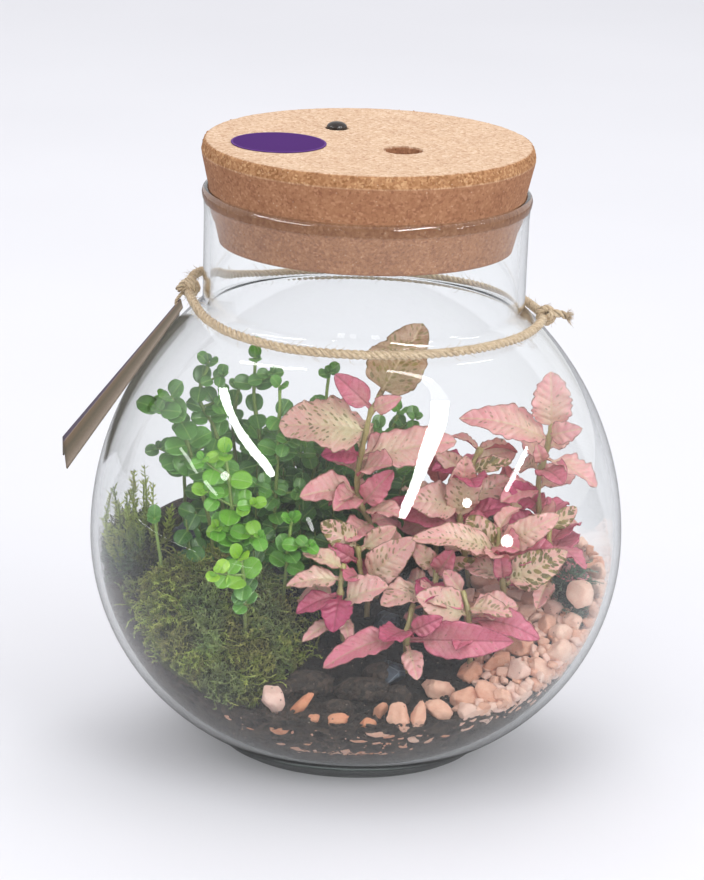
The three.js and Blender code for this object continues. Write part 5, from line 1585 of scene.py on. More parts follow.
def grow_moss(name, spots, count, length, material, seed, slot="moss", strands=0, lean=0.6):
    """Shoots at spots, which gives points and outward arrows, with long strands lying over them."""
    draw = np.random.default_rng(seed)
    shoots = [moss_shoot(random.Random(seed * 100 + k), 9, 0.5 * (0.3 + 0.25 * k)) for k in range(5)]
    long_ones = [moss_strand(random.Random(seed * 100 + 50 + k)) for k in range(6)]
    points, out = spots(count + strands, draw)
    batch = Batch()
    clumps = wander(points, 0.13, seed)
    for rank, (place, normal, clump) in enumerate(zip(points, out, clumps, strict=True)):
        lying = rank >= count
        local, faces, rise = (long_ones if lying else shoots)[draw.integers(5)]
        up = unit(normal * 0.7 + vec((0, 0, 0.5)) + draw.normal(0, lean * 0.4, 3))
        side = unit(np.cross(up, draw.normal(0, 1, 3)))
        turn = np.array([side, np.cross(up, side), up])
        size = length * draw.uniform(1.0, 1.9) if lying else length * draw.uniform(0.5, 1.1) * (1 + 0.7 * clump)
        sunk = -0.8 if lying else 0.6
        shaped = (local * size) @ turn + place - normal * sunk
        dry = max(0.0, min(1.0, float(draw.normal(0.25 - 0.5 * clump, 0.3))))
        shade = max(0.0, min(1.0, float(draw.normal(0.8 if lying else 0.3 + 0.6 * clump, 0.18))))
        shape = np.stack([rise, rise * 0, rise * 0], axis=1)
        batch.add(inside_glass(shaped, 0.35), faces, shape=shape, tone=(dry, float(draw.random()), shade))
    batch.piece(name, slot, [material], smooth_faces=False)


def on_node(node):
    return lambda count, draw: surface_samples(node, count, draw)


def on_soil(patches):
    """Spots on the soil within round patches of x, y and radius, thinning out towards their edges."""

    def spots(count, draw):
        middle = np.array([patch[:2] for patch in patches], dtype=float)
        radius = np.array([patch[2] for patch in patches], dtype=float)
        chosen = draw.choice(len(patches), count, p=radius**2 / (radius**2).sum())
        turn = draw.uniform(0, 2 * np.pi, count)
        reach = radius[chosen] * draw.random(count) ** 0.6
        x = middle[chosen, 0] + reach * np.cos(turn)
        y = middle[chosen, 1] + reach * np.sin(turn)
        out = np.tile(vec((0, 0, 1)), (count, 1))
        return inside_glass(np.stack([x, y, soil_height(x, y) + 0.6], axis=1), 5), out

    return spots


def moss_bed(name, node, material, slot):
    """The dark mat under the shoots: the cushion made finer and lumpy."""
    shape = bmesh.new()
    shape.from_mesh(NODES[node].data)
    bmesh.ops.subdivide_edges(shape, edges=shape.edges[:], cuts=4, use_grid_fill=True)
    bmesh.ops.triangulate(shape, faces=shape.faces[:])
    points = np.array([tuple(v.co) for v in shape.verts]) / MM
    faces = [[v.index for v in f.verts] for f in shape.faces]
    shape.free()
    inner = points.mean(axis=0)
    out = points - inner
    out /= np.maximum(np.linalg.norm(out, axis=1), 1)[:, None]
    sunk = 0.4 + 1.6 * np.abs(wander(points, 0.16, 4)) + 0.6 * np.abs(wander(points, 0.5, 7))
    points = points - out * sunk[:, None]
    batch = Batch()
    batch.add(inside_glass(points, 0.4), faces, shape=(0.12, 0, 0), tone=(0.6, 0.5, 0.2))
    batch.piece(name, slot, [material], replaces=[node])


# Where moss creeps over the bare soil: x, y and radius.
GREEN_GROUND = ((-70, -24, 16), (-30, -46, 12), (-22, -34, 12), (-56, -58, 10), (-40, -62, 9), (-66, -44, 9))
DARK_GROUND = (
    (-66, 8, 20), (-50, 20, 22), (-30, 6, 18), (-14, -4, 16), (-70, 28, 16), (-36, -10, 16), (0, 30, 24),
    (-26, 40, 22), (-60, -4, 16), (-14, -22, 9), (30, 44, 22), (56, 36, 18), (-58, 36, 18), (-44, 52, 18),
    (-76, 18, 12), (-64, 20, 16),
)


def make_moss():
    gold = moss_material("moss", "23260F", "73882F", "B8C860", "A08E58")
    grey = moss_material("grey_moss", "222B20", "53684C", "8AA083", "8E988A")
    # Painted shade: a darker copy of the gold moss, for the moss at the left, at the back and under the creeper.
    deep = moss_material("painted_shade_moss", "0E1308", "273618", "586A2C", "5A4F30")
    for node, count, strands, length, material in (
        ("moss_front", 2900, 620, 5.0, gold),
        ("moss_left", 1000, 160, 6.0, deep),
        ("moss_back", 2300, 60, 5.0, deep),
        ("moss_right", 700, 60, 5.0, grey),
    ):
        slot = "grey_moss" if node == "moss_right" else "moss"
        moss_bed(node + "_mat", node, material, slot)
        grow_moss(node + "_shoots", on_node(node), count, length, material, len(node) + count, slot, strands)
    grow_moss("moss_ground_front", on_soil(GREEN_GROUND), 1500, 4.2, gold, 91, strands=260)
    grow_moss("moss_ground_back", on_soil(DARK_GROUND), 3600, 4.6, deep, 92, strands=260)
    make_fronds(gold)


FROND_TIPS = (
    ((-80, -12, 72), (-80, -14, 112)), ((-82, -12, 74), (-86, -16, 107)), ((-79, -12, 74), (-75, -14, 105)),
    ((-84, -10, 74), (-82, -14, 101)), ((-87, -12, 72), (-91, -20, 99)), ((-88, -14, 70), (-92, -18, 90)),
    ((-76, -12, 72), (-71, -14, 96)), ((-87, 4, 74), (-91, 6, 94)),
)


def make_fronds(material):
    """Feathery shoots that stand up by the left glass."""
    draw = random.Random(61)
    batch = Batch()
    for foot, tip in FROND_TIPS:
        for branch in range(3):
            root = vec(foot) + vec((draw.gauss(0, 1.2), draw.gauss(0, 1.2), -2))
            end = vec(tip) + vec((draw.gauss(0, 2.5), draw.gauss(0, 2.5), draw.gauss(0, 2) - 4 * branch))
            middle = (root + end) / 2 + vec((draw.gauss(0, 1.6), draw.gauss(0, 1.6), 1))
            path = smooth_path([root, middle, end], 26)
            grow_frond(batch, path, draw)
    batch.points = [inside_glass(points, 0.4) for points in batch.points]
    batch.piece("moss_fronds", "moss", [material], smooth_faces=False)


def grow_frond(batch, path, draw):
    tone = (draw.uniform(0, 0.25), draw.random(), draw.uniform(0.5, 1))
    add_tube(batch, path, np.linspace(0.5, 0.2, len(path)), 4, tone=tone, shape=(0.5, 0, 0))
    for i in range(3, len(path) - 1):
        along = unit(path[i] - path[i - 1])
        for _ in range(3):
            out = unit(unit(np.cross(along, [draw.gauss(0, 1) for _ in range(3)])) + along * 0.8)
            reach = draw.uniform(1.6, 3.4)
            side = unit(np.cross(out, along)) * 0.45
            tip = path[i] + out * reach
            middle = path[i] + out * reach * 0.5
            batch.add([path[i], middle + side, tip, middle - side], [[0, 1, 2, 3]], tone=tone, shape=(0.85, 0, 0))


# ---------------------------------------------------------------- leaves
FACES = {
    "up": (0, 0, 1), "front": (0, -1, 0.35), "lift": (0, -0.7, 0.8), "right": (0.7, -0.5, 0.6),
    "back": (0, 0.8, 0.6),
}
SWINGS = [
    (turn, lift, size)
    for size in (1, 0.85, 0.7)
    for lift in (0, 9, -9, 18, -18, 28)
    for turn in (0, 10, -10, 20, -20, 32, -32)
]
SWINGS.sort(key=lambda swing: abs(swing[0]) + abs(swing[1]) * 1.3 + (1 - swing[2]) * 160)
FOUND = 0.05  # how near a solid's corner has to lie to a leaf's tip


def leaf_frame(base, tip, face):
    along = tip - base
    length = np.linalg.norm(along)
    along = along / length
    side = unit(np.cross(along, face))
    return along, side, np.cross(side, along), length


def swung_tip(base, tip, swing):
    turn, lift, size = swing
    arm = rotated((tip - base) * size, vec((0, 0, 1)), turn)
    level = np.cross(arm, (0, 0, 1))
    if np.linalg.norm(level) > 0.05 * np.linalg.norm(arm):
        arm = rotated(arm, level, lift)
    return base + arm


def corners_of(node):
    mesh = NODES[node].data
    tree = KDTree(len(mesh.vertices))
    for i, corner in enumerate(mesh.vertices):
        tree.insert(corner.co / MM, i)
    tree.balance()
    return tree


def grown_tip(corners, base, tip, face, thickness):
    """Where the solid's leaf ends: the first swing whose tip is a corner of the node, or None."""
    for swing in SWINGS:
        end = swung_tip(base, tip, swing)
        normal = leaf_frame(base, end, face)[2]
        _, _, distance = corners.find(Vector(end + normal * thickness / 2))
        if distance < FOUND:
            return end
    return None


def blade(batch, base, tip, face, width, outline, form, counts, tone, marks):
    """A leaf's two sides and its edge. form gives heights over the blade; outline its half-width."""
    along, side, normal, length = leaf_frame(base, tip, face)
    rows, columns = counts
    t = np.linspace(0, 1, rows)[:, None]
    s = np.linspace(-1, 1, columns)[None, :]
    half = outline(t) * width / 2
    rise, drift = form(t, s, length, width, half)
    thick = 0.34 * (1 - 0.6 * np.abs(s) ** 4) * np.minimum(1, 0.4 + 4 * t * (1 - t))
    centre = base + along * (length * t)[..., None] + along * drift[..., None]
    upper = centre + side * (half * s)[..., None] + normal * rise[..., None]
    lower = upper - normal * thick[..., None]
    points = np.vstack([upper.reshape(-1, 3), lower.reshape(-1, 3)])
    run = np.broadcast_to(length * t, rise.shape)
    inset = half * (1 - np.abs(s))
    shape = np.stack([run, half * s, inset], axis=-1).reshape(-1, 3)
    part = np.stack([np.broadcast_to(t, rise.shape), np.broadcast_to(np.abs(s), rise.shape), 0 * rise], axis=-1)
    faces = sheet_faces(rows, columns)
    mark = np.repeat((marks[0], marks[1], marks[0]), [len(side) for side in faces])
    looks = {"shape": np.vstack([shape, shape]), "part": np.vstack([part.reshape(-1, 3)] * 2), "mark": mark}
    batch.add(inside_glass(points, 0.5), np.vstack(faces), tone=tone, **looks)


# ---------------------------------------------------------------- pink nerve plants
# Each leaf: where its blade begins, where it ends, its width, the way its upper side looks, and its
# colouring: o olive, t tan, s speckled, p pink, r rose, g heavy green pattern, c crimson.
PINK_STEMS = (
    (
        ((9, -15, 50), (7, -12, 84), (0, -10, 102), (3, -10, 128), (7, -10, 139)),
        (
            ((11, -11, 139), (21, -14, 167), 21, "front", "o"),
            ((2, -10, 136), (-9, -13, 147), 10, "front", "r"), ((6, -12, 134), (14, -17, 140), 7, "front", "p"),
            ((1, -11, 127), (-29, -18, 130), 24, "lift", "t"), ((5, -11, 115), (36, -14, 124), 16, "lift", "p"),
            ((-2, -12, 102), (-21, -22, 103), 12, "lift", "p"),
            ((3, -12, 99), (12, -16, 111), 10, "front", "r"), ((-1, -13, 98), (-10, -19, 101), 6, "up", "r"),
            ((3, -7, 119), (-5, 15, 128), 14, "up", "s"), ((3, -8, 107), (15, 12, 115), 13, "up", "p"),
        ),
    ),
    (
        ((44, -3, 52), (43, -4, 68), (39, -4, 91), (42, 0, 108), (46, 2, 117)),
        (
            ((37, -4, 87), (11, -2, 97), 14, "lift", "r"), ((39, -6, 92), (40, -13, 118), 13, "front", "s"),
            ((40, -1, 109), (29, -6, 117), 8, "front", "s"), ((44, -1, 109), (57, -3, 114), 8, "lift", "g"),
            ((42, -6, 92), (57, -12, 99), 10, "lift", "c"), ((45, 2, 117), (35, 3, 122), 6, "up", "p"),
            ((48, 3, 116), (60, 8, 116), 7, "up", "p"), ((42, 3, 101), (38, 24, 106), 13, "up", "p"),
            ((45, -1, 80), (55, 16, 86), 12, "up", "r"),
        ),
    ),
    (
        ((73, -5, 52), (70, -3, 80), (68, 0, 104), (71, 0, 120), (72, 0, 128)),
        (
            ((72, -1, 128), (70, -7, 149), 15, "front", "p"), ((69, -1, 123), (40, -8, 134), 14, "lift", "p"),
            ((73, -3, 124), (80, -12, 129), 9, "front", "p"), ((69, -2, 114), (66, -9, 122), 6, "front", "p"),
            ((73, -1, 119), (79, -3, 124), 6, "front", "p"), ((73, -2, 115), (89, -11, 107), 13, "right", "p"),
            ((67, -2, 98), (57, -8, 106), 9, "front", "c"), ((71, 3, 112), (63, 24, 118), 12, "up", "p"),
            ((71, 0, 90), (79, 19, 94), 12, "up", "r"),
        ),
    ),
    (
        ((57, -36, 36), (55, -35, 76), (53, -34, 88), (52, -32, 96)),
        (
            ((50, -36, 88), (22, -48, 97), 13, "lift", "s"), ((55, -35, 91), (73, -42, 104), 11, "front", "s"),
            ((58, -38, 77), (76, -45, 91), 14, "front", "g"), ((50, -32, 88), (41, -28, 99), 10, "front", "g"),
            ((54, -37, 78), (53, -42, 91), 7, "front", "r"), ((53, -31, 95), (60, -25, 103), 8, "up", "p"),
        ),
    ),
    (
        ((76, -16, 46), (73, -15, 74), (72, -13, 92)),
        (
            ((73, -13, 92), (82, -12, 99), 7, "front", "g"), ((74, -16, 86), (86, -26, 82), 11, "right", "r"),
            ((71, -18, 74), (68, -31, 66), 8, "lift", "p"), ((73, -11, 85), (84, 4, 91), 11, "up", "r"),
        ),
    ),
    (
        ((44, -45, 34), (43, -45, 62), (40, -41, 74)),
        (
            ((46, -47, 66), (68, -52, 62), 11, "lift", "r"), ((43, -46, 70), (57, -57, 71), 9, "lift", "s"),
            ((39, -42, 74), (33, -39, 81), 7, "front", "p"),
        ),
    ),
    (
        ((20, -45, 32), (20, -47, 54), (20, -46, 60), (22, -43, 69)),
        (
            ((15, -50, 60), (-10, -62, 51), 12, "lift", "r"), ((25, -45, 68), (34, -49, 71), 6, "up", "s"),
            ((23, -49, 61), (33, -55, 68), 8, "front", "r"), ((22, -51, 56), (24, -62, 48), 8, "lift", "p"),
            ((26, -51, 58), (56, -62, 62), 14, "front", "r"),
        ),
    ),
    (
        ((-3, -36, 42), (-4, -36, 60), (-5, -36, 71), (-4, -32, 80)),
        (
            ((-6, -40, 72), (-7, -50, 60), 12, "lift", "c"), ((-9, -38, 71), (-21, -43, 64), 9, "lift", "c"),
            ((-6, -36, 77), (-24, -43, 76), 10, "lift", "s"), ((-5, -33, 80), (-19, -35, 85), 7, "lift", "s"),
            ((-8, -39, 62), (-18, -47, 56), 6, "lift", "p"), ((-3, -40, 63), (-1, -51, 56), 6, "lift", "p"),
        ),
    ),
    (
        ((5, -24, 50), (5, -25, 65), (2, -24, 76), (1, -22, 84)),
        (
            ((-1, -23, 85), (-12, -28, 94), 11, "front", "g"), ((-1, -26, 80), (-8, -31, 86), 7, "front", "r"),
            ((6, -28, 74), (20, -35, 90), 14, "front", "s"), ((4, -22, 84), (15, -22, 92), 8, "front", "s"),
        ),
    ),
    (
        ((28, -33, 42), (27, -34, 66), (30, -31, 74), (31, -27, 82)),
        (
            ((27, -36, 77), (11, -47, 71), 14, "lift", "s"), ((29, -30, 80), (21, -31, 88), 8, "front", "s"),
            ((32, -31, 78), (36, -38, 88), 9, "front", "r"), ((31, -34, 75), (27, -46, 73), 9, "lift", "p"),
            ((33, -29, 80), (43, -35, 84), 6, "front", "g"),
        ),
    ),
    (
        ((30, 16, 56), (31, 16, 80), (32, 18, 98)),
        (
            ((32, 19, 98), (28, 24, 110), 9, "back", "p"), ((33, 17, 92), (48, 26, 98), 12, "up", "p"),
            ((30, 17, 90), (14, 28, 95), 12, "up", "s"), ((32, 19, 82), (34, 38, 86), 13, "up", "r"),
        ),
    ),
    (
        ((60, 24, 56), (60, 24, 78), (58, 26, 92)),
        (
            ((58, 27, 92), (56, 34, 102), 9, "back", "p"), ((60, 26, 86), (74, 34, 90), 12, "up", "s"),
            ((58, 27, 82), (46, 42, 85), 12, "up", "r"),
        ),
    ),
)
# Rosiness and greenness of each colouring.
COLOURINGS = {
    "o": (-0.5, 0.6), "t": (-0.12, 0.5), "s": (0.14, 0.5), "p": (0.5, 0.22), "r": (0.95, 0.05), "g": (0.0, 1.0),
    "c": (1.25, 0.0),
}
WAVY_STEM = 2  # the tall one at the right
PINK_STEM_RADIUS = 1.5
PINK_THICKNESS = 0.8  # of the solids' leaves


def root_on_stem(path, start):
    """The point of a stem that a leaf's stalk starts from: a little below the blade's beginning."""
    target = start - vec((0, 0, 1.5))
    best = curve_point(path, 0)
    for i in range(81):
        point = curve_point(path, 0.15 + 0.84 * i / 80)
        if np.linalg.norm(point - target) < np.linalg.norm(best - target):
            best = point
    return best


def pink_outline(stalk, width, draw, deeper=1.0):
    """Half-width along a pink leaf as a share of its greatest: a thin stalk, then an egg-shaped blade."""
    phase = [draw.uniform(0, 6.28) for _ in range(3)]
    point = draw.uniform(0.5, 0.62)
    scallops = max(3, round(width / 2.2)) + draw.choice((0, 1))
    depth = draw.uniform(0.03, 0.07) * deeper

    def spread(t):
        b = np.clip((t - stalk) / (1 - stalk), 0, 1)
        egg = np.sin(np.pi * np.maximum(b, 1e-6) ** 0.72) ** point
        nick = 1 + depth * (np.abs(np.sin(np.pi * scallops * b + phase[0])) - 0.6)
        nick = nick + 0.02 * np.sin(43 * t + phase[1])
        stem = 0.9 / (width / 2)
        return np.maximum(egg * nick, stem * smooth(1 - b * 3) + 0.015)

    return spread


def pink_form(draw):
    """Heights over a pink leaf: bowed, folded, twisted, puffed between its veins and waved at its edge."""
    waves = [
        (draw.uniform(1.6, 3.0), draw.uniform(0, 6.28), draw.uniform(4.5, 7), draw.uniform(0, 6.28))
        for _ in ("left", "right")
    ]
    curl, twist, fold_share = draw.uniform(-0.02, 0.2), draw.uniform(-0.4, 0.4), draw.uniform(0.12, 0.5)
    bow_share = draw.uniform(0.03, 0.13)

    def height(t, s, length, width, half):
        reach = np.abs(s)
        bow = bow_share * length * np.sin(np.pi * t) - curl * length * t**3
        fold = fold_share * half * reach**1.25 + twist * half * s * t
        wave = 0
        for sign, (slow, slow_phase, fast, fast_phase) in zip((-1, 1), waves, strict=True):
            ripple = 0.65 * np.sin(2 * np.pi * slow * t + slow_phase)
            ripple = ripple + 0.35 * np.sin(2 * np.pi * fast * t + fast_phase)
            wave = wave + np.where(s * sign > 0, ripple, 0)
        wave = wave * 0.1 * width * reach**2 * np.minimum(1, half / (0.3 * width))
        slant = (length * t - 0.8 * np.abs(half * s)) / 3.0
        puff = 0.25 * np.abs(np.sin(np.pi * slant)) * np.clip(half * reach / 1.5, 0, 1) * (1 - reach**4)
        groove = -0.25 * np.exp(-((half * s / 0.6) ** 2)) * np.minimum(1, half)
        return bow + fold + wave + puff + groove, 0 * t * s

    return height


def add_stalk(batch, path, radius, mark, knuckles, draw):
    """A plant's stem: a tube with a small swelling at each joint, its shade running from 0 to 1."""
    steps = np.linspace(0, 1, 46)
    line = np.array([curve_point(path, t) for t in steps])
    girth = radius * (1.02 - 0.22 * steps)
    for height in knuckles:
        girth = girth + radius * 0.28 * np.exp(-(((line[:, 2] - height) / 1.3) ** 2))
    line = line + np.stack([wander(line, 0.2, draw.uniform(0, 9)) * 0.25, 0 * steps, 0 * steps], axis=1)
    sides = 10
    shade = np.append(np.repeat(steps, sides), [0, 1])
    shape = np.stack([shade, 0 * shade, 0 * shade], axis=1)
    add_tube(batch, line, girth, sides, shape=shape, tone=(0.5, 0, draw.random()), mark=mark)


LONG_LEAF = 14
FINE_GRID = (34, 17)  # a leaf's rows of corners along and across
COARSE_GRID = (22, 13)


def make_pink_plants():
    materials = [pink_leaf_material(), pink_under_material(), stalk_material("pink_stalk", "7E6C4A", "ADA46C")]
    for number, (path, leaves) in enumerate(PINK_STEMS):
        node = f"pink_stem_{number + 1:02d}"
        draw = random.Random(100 + number)
        corners = corners_of(node)
        path = [vec(p) for p in path]
        batch = Batch()
        roots = [root_on_stem(path, vec(leaf[0])) for leaf in leaves]
        add_stalk(batch, path, PINK_STEM_RADIUS * 0.74, 2, [root[2] for root in roots], draw)
        for (start, end, width, face, colouring), root in zip(leaves, roots, strict=True):
            start, end, face = vec(start), vec(end), vec(FACES[face])
            length = np.linalg.norm(end - root)
            tip = grown_tip(corners, root, end, face, PINK_THICKNESS)
            if tip is None:
                continue
            stalk = min(0.3, max(0.08, float(np.linalg.norm(start - root)) / length))
            grown = width / length * np.linalg.norm(tip - root)
            rosy, green = COLOURINGS[colouring]
            tone = (rosy + draw.uniform(-0.1, 0.1), green + draw.uniform(-0.06, 0.06), draw.random())
            counts = FINE_GRID if length > LONG_LEAF else COARSE_GRID
            outline = pink_outline(stalk, grown, draw, 2.6 if number == WAVY_STEM else 1.0)
            blade(batch, root, tip, face, grown, outline, pink_form(draw), counts, tone, (0, 1))
        add_filler_leaves(batch, path, draw)
        batch.piece(f"pink_plant_{number + 1:02d}", "pink_plant", materials, replaces=[node])


FILLER_SPACING = 7
FILLER_TONES = ((0.95, 0.05), (1.2, 0.0), (0.5, 0.25), (0.75, 0.1), (1.0, 0.0), (0.3, 0.4))
LONG_STEM = 60  # a stem that stands higher than this over the soil bears its pairs only low down


def add_filler_leaves(batch, path, draw):
    """The smaller opposite pairs lower on a stem, each pair a quarter turn from the next."""
    foot, top = path[0], path[-1]
    ground = float(soil_height(foot[0], foot[1]))
    room = top[2] - ground
    highest = room - 9 if room < LONG_STEM else 0.62 * room
    count = int((highest - 6) // FILLER_SPACING)
    start = draw.uniform(0, math.pi)
    for i in range(count):
        height = ground + 10 + FILLER_SPACING * (i + draw.uniform(-0.2, 0.2))
        t = (height - foot[2]) / (top[2] - foot[2])
        base = curve_point(path, t)
        turn = start + i * math.pi / 2 + draw.uniform(-0.35, 0.35)
        for half in (0, math.pi):
            lift = draw.uniform(-0.1, 0.5)
            size = draw.uniform(15, 22)
            arm = vec((math.cos(turn + half), math.sin(turn + half), math.tan(lift)))
            tip = base + unit(arm) * size
            face = vec((0, draw.uniform(-1.2, -0.4), 0.8)) if tip[1] < 20 else vec((0, 0.6, 0.8))
            rosy, green = draw.choice(FILLER_TONES)
            tone = (rosy + draw.uniform(-0.12, 0.12), green, draw.random())
            width = size * draw.uniform(0.54, 0.7)
            outline = pink_outline(draw.uniform(0.12, 0.22), width, draw)
            blade(batch, base, tip, face, width, outline, pink_form(draw), (24, 13), tone, (0, 1))


# ---------------------------------------------------------------- green creeper
GREEN_STEMS = (
    (((-50, 0, 54), (-50, 0, 81), (-53, 0, 117), (-60, 0, 133), (-57, 0, 147)), 8),
    (((-53, -13, 52), (-54, -13, 84), (-61, -14, 110), (-65, -14, 124), (-70, -14, 137)), 11),
    (((-35, 10, 56), (-36, 10, 80), (-37, 10, 112), (-40, 10, 131), (-40, 10, 147)), 8),
    (((-31, -6, 54), (-31, -6, 83), (-30, -8, 117), (-30, -8, 141)), 7.8),
    (((-22, 14, 58), (-20, 14, 82), (-15, 14, 111), (-12, 14, 141)), 8.2),
    (((-43, -33, 44), (-43, -34, 76), (-45, -35, 94), (-47, -34, 109), (-49, -32, 121)), 9),
    (((-39, -48, 40), (-40, -47, 72), (-42, -47, 86)), 9),
    (((-26, -28, 46), (-26, -29, 64), (-25, -30, 82), (-24, -30, 96)), 7.8),
    (((-70, -22, 50), (-72, -22, 74), (-75, -21, 92)), 8),
    (((12, 20, 62), (10, 20, 90), (11, 19, 112), (15, 18, 126)), 8.5),
    (((-44, 24, 62), (-46, 24, 95), (-48, 22, 118), (-46, 22, 133)), 8),
    (((-66, 24, 62), (-66, 24, 92), (-68, 23, 116)), 8), (((-18, 42, 64), (-18, 43, 90), (-14, 45, 112)), 8.5),
    (((20, 50, 66), (20, 50, 88), (24, 50, 106)), 8.5),
)
GREEN_STEM_RADIUS = 0.9
GREEN_THICKNESS = 0.75
PAIR_SPACING = 15
BARE_FOOT = 17
CREEPER_TILT = 48  # degrees that the pairs are tipped towards the front
CREEPER_FACE = rotated(vec((0, 0, 1)), vec((1, 0, 0)), CREEPER_TILT)
# How light each stem's leaves are: painted light on the stems at the front, painted shade on those further back.
GREEN_PAINTED_LIGHT = (0.25, 0.35, 0.25, 0.3, 0.3, 0.7, 0.8, 0.45, 0.35, 0.3, 0.2, 0.2, 0.25, 0.25)


def green_outline(t):
    """Half-width along a round leaf: a short stalk, then nearly a circle."""
    b = np.clip((t - 0.08) / 0.92, 0, 1)
    disc = np.sqrt(np.maximum(1 - (2 * b - 1) ** 2, 0)) ** 0.9
    return np.maximum(disc, 0.09 * (1 - smooth(b * 8)) + 0.01)


def green_form(draw):
    cup, curl = draw.uniform(0.1, 0.26), draw.uniform(-0.08, 0.1)

    def height(t, s, length, width, half):
        bow = 0.05 * length * np.sin(np.pi * t) - curl * length * t**2
        dish = cup * half * np.abs(s) ** 1.7
        groove = -0.12 * np.exp(-((half * s / 0.5) ** 2))
        return bow + dish + groove, 0 * t * s

    return height


def creeper_pairs(path, leaf, seed):
    """The pairs of leaves that the solids have: base, both tips and width, from the top down."""
    draw = seeded(seed)
    foot, top = path[0], path[-1]
    count = math.floor((top[2] - float(soil_height(foot[0], foot[1])) - BARE_FOOT) / PAIR_SPACING) + 1
    pairs = []
    for i in range(count):
        t = (top[2] - 0.6 - PAIR_SPACING * i - foot[2]) / (top[2] - foot[2])
        base = curve_point(path, t)
        size = leaf * (0.72 if i == 0 else 0.9 + 0.2 * draw())
        turn = i * (math.pi / 2) + 0.5 * draw() + seed
        lift = 0.2 + 0.35 * draw() + (0.5 if i == 0 else 0)
        pairs.append((base, pair_tips(base, size, turn, lift), size * 0.86))
    return pairs


def pair_tips(base, size, turn, lift):
    tips = []
    for half in (0, math.pi):
        level = math.cos(lift)
        arm = vec((math.cos(turn + half) * level, math.sin(turn + half) * level, math.sin(lift)))
        tips.append(base + rotated(arm, vec((1, 0, 0)), CREEPER_TILT) * size)
    return tips


def make_creeper():
    leaf_look = green_leaf_material()
    stalk_look = stalk_material("green_stalk", "5A5A34", "7FA04A")
    for number, (path, leaf) in enumerate(GREEN_STEMS):
        node = f"green_stem_{number + 1:02d}"
        draw = random.Random(200 + number)
        corners = corners_of(node)
        path = [vec(p) for p in path]
        batch = Batch()
        seed = len(PINK_STEMS) + number
        pairs = creeper_pairs(path, leaf, seed)
        add_stalk(batch, path, GREEN_STEM_RADIUS * 0.85, 1, [base[2] for base, _, _ in pairs], draw)
        light = GREEN_PAINTED_LIGHT[number]
        for rank, (base, tips, width) in enumerate(pairs):
            for tip in tips:
                end = grown_tip(corners, base, tip, CREEPER_FACE, GREEN_THICKNESS)
                if end is None:
                    continue
                # Painted light: the stem's lightness and a random spread, lighter still for the top pair.
                shade = light + draw.uniform(-0.12, 0.16) + (0.12 if rank == 0 else 0)
                grown = width * np.linalg.norm(end - base) / np.linalg.norm(tip - base)
                add_round_leaf(batch, base, end, grown, shade, draw)
        add_small_pairs(batch, path, leaf, pairs, light, draw)
        batch.piece(f"creeper_{number + 1:02d}", "green_plant", [leaf_look, stalk_look], replaces=[node])


# Where young shoots stand: the range of x and of y, their heights and their number.
SPRIG_GROUND = (
    ((-62, 6), (-20, 34), (12, 30), 46),
    ((-40, 12), (6, 34), (28, 46), 26),
    ((-62, -34), (4, 30), (28, 50), 10),
)


def make_sprigs():
    """Short young shoots that stand in the moss under the creeper."""
    draw = random.Random(301)
    batch = Batch()
    looks = [green_leaf_material(), stalk_material("green_stalk", "5A5A34", "7FA04A")]
    spots = [patch for patch in SPRIG_GROUND for _ in range(patch[3])]
    for across, deep, heights, _ in spots:
        x, y = draw.uniform(*across), draw.uniform(*deep)
        foot = vec((x, y, float(soil_height(x, y)) - 1))
        height = draw.uniform(*heights)
        top = foot + vec((draw.gauss(0, 3), draw.gauss(-2, 3), height))
        line = smooth_path([foot, (foot + top) / 2 + vec((draw.gauss(0, 1.5), 0, 0)), top], 14)
        add_tube(batch, line, np.linspace(0.6, 0.35, 14), 6, mark=1, shape=(0.6, 0, 0), tone=(0.5, 0, 0.5))
        for t in np.arange(0.35, 1.01, 6.5 / height):
            place = line[round(13 * min(t, 1))]
            size = draw.uniform(5.5, 8)
            for tip in pair_tips(place, size, draw.uniform(0, 6.28), draw.uniform(0.1, 0.5)):
                # Dark shades: painted shade on the young shoots under the creeper.
                add_round_leaf(batch, place, tip, size * 0.9, draw.uniform(-0.1, 0.25), draw)
    batch.piece("creeper_sprigs", "green_plant", looks)


def add_round_leaf(batch, base, tip, width, shade, draw, face=CREEPER_FACE):
    looks = ((shade, draw.random(), draw.random()), (0, 0))
    blade(batch, base, tip, face, width, green_outline, green_form(draw), (13, 9), *looks)


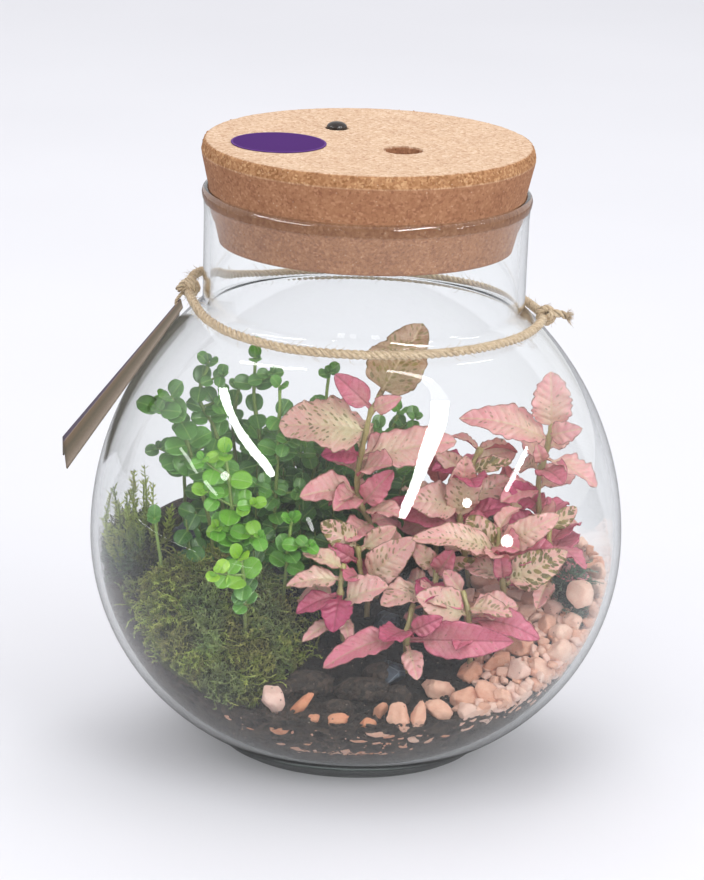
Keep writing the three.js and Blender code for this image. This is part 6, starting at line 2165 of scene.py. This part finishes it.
def add_small_pairs(batch, path, leaf, pairs, light, draw):
    """The pairs between those of the solids, their side shoots, and the bud at the stem's top."""
    foot, top = path[0], path[-1]
    heights = [(base[2] - PAIR_SPACING / 2, leaf * draw.uniform(0.8, 1.0)) for base, _, _ in pairs]
    heights.append((top[2] - 0.2, leaf * 0.45))
    for height, size in heights:
        t = (height - foot[2]) / (top[2] - foot[2])
        if t < 0.12 or 0.62 < t < 0.97:
            continue
        base = curve_point(path, min(t, 1))
        turn, lift = draw.uniform(0, 6.28), draw.uniform(0.1, 0.5) + (0.5 if t > 0.95 else 0)
        for tip in pair_tips(base, size, turn, lift):
            add_round_leaf(batch, base, tip, size * 0.88, light + draw.uniform(-0.12, 0.18), draw)
    if light > 0.6:
        ground = float(soil_height(foot[0], foot[1]))
        for above, size in ((13, 6), (17, 6.5), (21, 7.5)):
            base = curve_point(path, (ground + above - foot[2]) / (top[2] - foot[2]))
            for tip in pair_tips(base, size, draw.uniform(0, 6.28), draw.uniform(0, 0.4)):
                # Darker than the stem's own leaves: painted shade low down in the moss.
                add_round_leaf(batch, base, tip, size * 0.9, draw.uniform(0.1, 0.5), draw)
    for base, _, _ in pairs[1:]:
        for side in (-1, 1):
            if draw.random() < (0.25 if base[2] > 108 else 0.8):
                add_side_shoot(batch, base + vec((0, 0, 1.2)), side, leaf, light, draw)


def add_side_shoot(batch, base, side, leaf, light, draw):
    """A short branch from a joint, with two pairs of leaves and a bud."""
    reach = draw.uniform(8, 13)
    turn = draw.uniform(-0.5, 1.0)
    arm = vec((side * math.cos(turn), -math.sin(turn), draw.uniform(0.15, 0.7)))
    end = base + unit(arm) * reach
    middle = (base + end) / 2 + vec((0, 0, draw.uniform(-1, 0.5)))
    if end[2] < float(soil_height(end[0], end[1])) + 12:
        return
    line = inside_glass(smooth_path([base, middle, end], 12), 2.5)
    add_tube(batch, line, np.linspace(0.55, 0.35, 12), 6, mark=1, shape=(0.8, 0, 0), tone=(0.5, 0, 0.5))
    for t, share in ((0.55, 0.78), (0.95, 0.72), (1.0, 0.4)):
        place = line[round(11 * t)]
        size = leaf * share * draw.uniform(0.85, 1.1)
        lift = draw.uniform(0, 0.4) + (0.6 if share < 0.5 else 0)
        for tip in pair_tips(place, size, draw.uniform(0, 6.28), lift):
            add_round_leaf(batch, place, tip, size * 0.88, light + draw.uniform(-0.1, 0.2), draw)


# ---------------------------------------------------------------- the whole
place_camera()
make_floor()
light_studio()
bpy.context.scene.view_settings.view_transform = "Standard"
make_glass()
make_lid()
make_label_and_plug()
make_twine()
make_tag()
make_soil()
make_crumbs()
make_gravel()
make_rocks()
make_moss()
make_pink_plants()
make_creeper()
make_sprigs()
